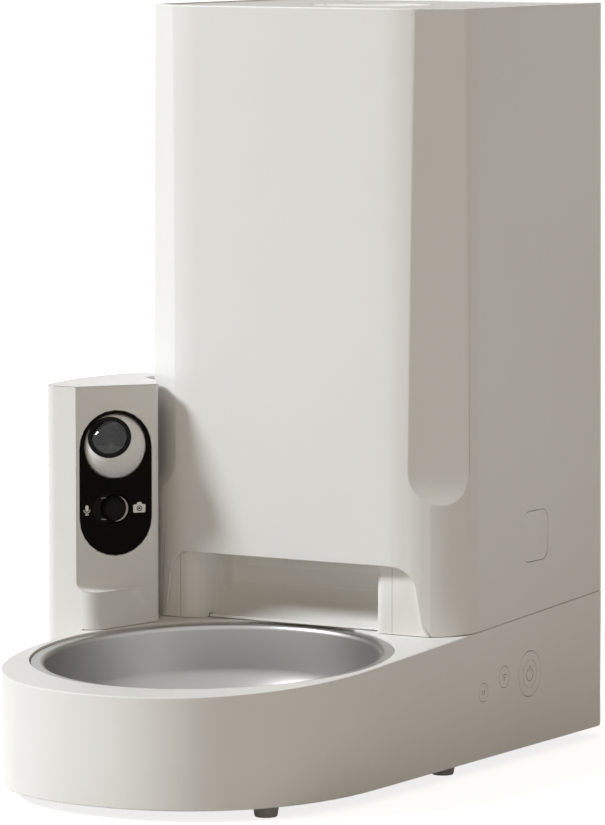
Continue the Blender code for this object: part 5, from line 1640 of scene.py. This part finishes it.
@dataclass
class LidDetails:
    """The arrow on the knob's grip and the dot on the lid that it points to."""

    top: float = 382.3 * MM

    def make(self) -> None:
        """Makes both marks."""
        centre = Matrix.Translation((PLAN_ORIGIN.x, 0.093, self.top))
        arrow = [(26.0 * MM, 0.0), (22.4 * MM, 2.0 * MM), (22.4 * MM, -2.0 * MM)]
        flat_mark("knob_arrow", [arrow], 0.06 * MM, centre, GREY_LINE, Body.KNOB)
        dot = arc((36.0 * MM, 0), 0.9 * MM, 0, 345, 23)
        flat_mark("lid_dot", [dot], 0.06 * MM, centre, GREY_LINE, Body.LID)


def background_rays(graph: Graph) -> Any:
    """Mask of the rays that show the white background: camera, mirror and glass rays.

    Args:
        graph: Node tree that gets the mask.

    Returns:
        Output socket, 1 on such rays and 0 on all others.
    """
    rays = graph.add("ShaderNodeLightPath")
    seen = rays.outputs["Is Camera Ray"]
    for kind in ("Is Glossy Ray", "Is Transmission Ray"):
        seen = graph.math("MAXIMUM", seen, rays.outputs[kind])
    return seen


@dataclass
class Studio:
    """Floor, lights, world and the camera at the photograph's angle."""

    azimuth_deg: float = 31.0
    distance: float = 2.660
    eye_height: float = 0.452
    beside: float = 0.0447
    focal_px: float = 5400.0
    picture_height: float = 825.0
    horizon_px: float = -129.0
    film: float = 36.0
    floor_size: float = 30.0
    key_colour: Colour = (0.90, 0.95, 1.0)
    key_strength: float = 3.0
    world_colour: Colour = (1.0, 0.88, 0.73)
    world_strength: float = 0.26
    fill_colour: Colour = (1.0, 0.86, 0.70)
    fill_strength: float = 0.20
    floor_colour: Colour = (0.60, 0.58, 0.55)
    floor_glow: float = 0.80

    def camera(self) -> None:
        """Long lens that looks down to the middle of the picture, without any shift."""
        turn = math.radians(self.azimuth_deg)
        right = Vector((math.cos(turn), math.sin(turn), 0))
        forward = Vector((-math.sin(turn), math.cos(turn), 0))
        data = bpy.data.cameras.new("photo_camera")
        made = add_object(data, "photo_camera")
        made.location = PLAN_ORIGIN + right * self.beside - forward * self.distance
        made.location.z = self.eye_height
        drop = math.atan((self.picture_height / 2 - self.horizon_px) / self.focal_px)
        made.rotation_euler = (math.pi / 2 - drop, 0, turn)
        data.sensor_fit = "VERTICAL"
        data.sensor_height = self.film
        data.sensor_width = self.film
        data.lens = self.focal_px / math.cos(drop) / self.picture_height * self.film
        data.clip_end = 60
        bpy.context.scene.camera = made

    def floor(self) -> None:
        """Wide plain floor, a little brighter to the camera."""
        half = self.floor_size / 2
        mesh = bpy.data.meshes.new("studio_floor")
        mesh.from_pydata([(-half, -half, 0), (half, -half, 0), (half, half, 0), (-half, half, 0)], [],
                         [(0, 1, 2, 3)])
        made = add_object(mesh, "studio_floor")
        look = bpy.data.materials.new("studio_floor")
        look.use_nodes = True
        graph = Graph(look.node_tree)
        shader = look.node_tree.nodes["Principled BSDF"]
        shader.inputs["Base Color"].default_value = (*self.floor_colour, 1)
        shader.inputs["Roughness"].default_value = 0.9
        level = graph.math("MULTIPLY", background_rays(graph), self.floor_glow)
        shader.inputs["Emission Color"].default_value = (1, 1, 1, 1)
        graph.link(level, shader.inputs["Emission Strength"])
        mesh.materials.append(look)

    def lights(self) -> None:
        """Soft key from the left and the front, a weak fill without a shadow and a warm surrounding."""
        for name, strength, colour, towards in (("key", self.key_strength, self.key_colour, (0.52, 0.41, -0.52)),
                                                ("fill", self.fill_strength, self.fill_colour, (-0.48, 0.84, -0.25))):
            data = bpy.data.lights.new(name, "SUN")
            data.energy = strength
            data.color = colour
            data.angle = math.radians(14)
            data.use_shadow = name == "key"
            lamp = add_object(data, name)
            lamp.visible_glossy = name == "key"
            lamp.rotation_euler = Vector(towards).to_track_quat("-Z", "Y").to_euler()
        world = bpy.data.worlds.new("studio_world")
        bpy.context.scene.world = world
        world.use_nodes = True
        graph = Graph(world.node_tree)
        back = world.node_tree.nodes["Background"]
        back.inputs["Color"].default_value = (*self.world_colour, 1)
        back.inputs["Strength"].default_value = self.world_strength
        seen = background_rays(graph)
        white = graph.add("ShaderNodeBackground", {"Color": (1, 1, 1, 1), "Strength": 1.0})
        mixed = graph.add("ShaderNodeMixShader", {0: seen, 1: back.outputs[0], 2: white.outputs[0]})
        graph.link(mixed.outputs[0], world.node_tree.nodes["World Output"].inputs["Surface"])

    def make(self) -> None:
        """Sets the whole studio."""
        bpy.context.scene.view_settings.view_transform = "Standard"
        self.camera()
        self.floor()
        self.lights()


def corners(box: Sequence[Vector]) -> list[list[float]]:
    """A box as plain lists of numbers.

    Args:
        box: Low and high corner.

    Returns:
        The box as lists.
    """
    return [[round(value, 6) for value in corner] for corner in box]


def main() -> None:
    """Builds the dressed feeder on the frame."""
    logging.basicConfig(level=logging.INFO, format="%(name)s: %(message)s")
    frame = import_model()
    Studio().make()
    for dressing in shell_dressings():
        dressing.make(frame)
    ChuteFront().make(frame)
    SteelBowl().make()
    CameraEye().make(frame)
    PanelFittings().make()
    SideControls().make()
    Fastenings().make()
    Electronics().make()
    LidDetails().make()


if __name__ == "__main__":
    main()
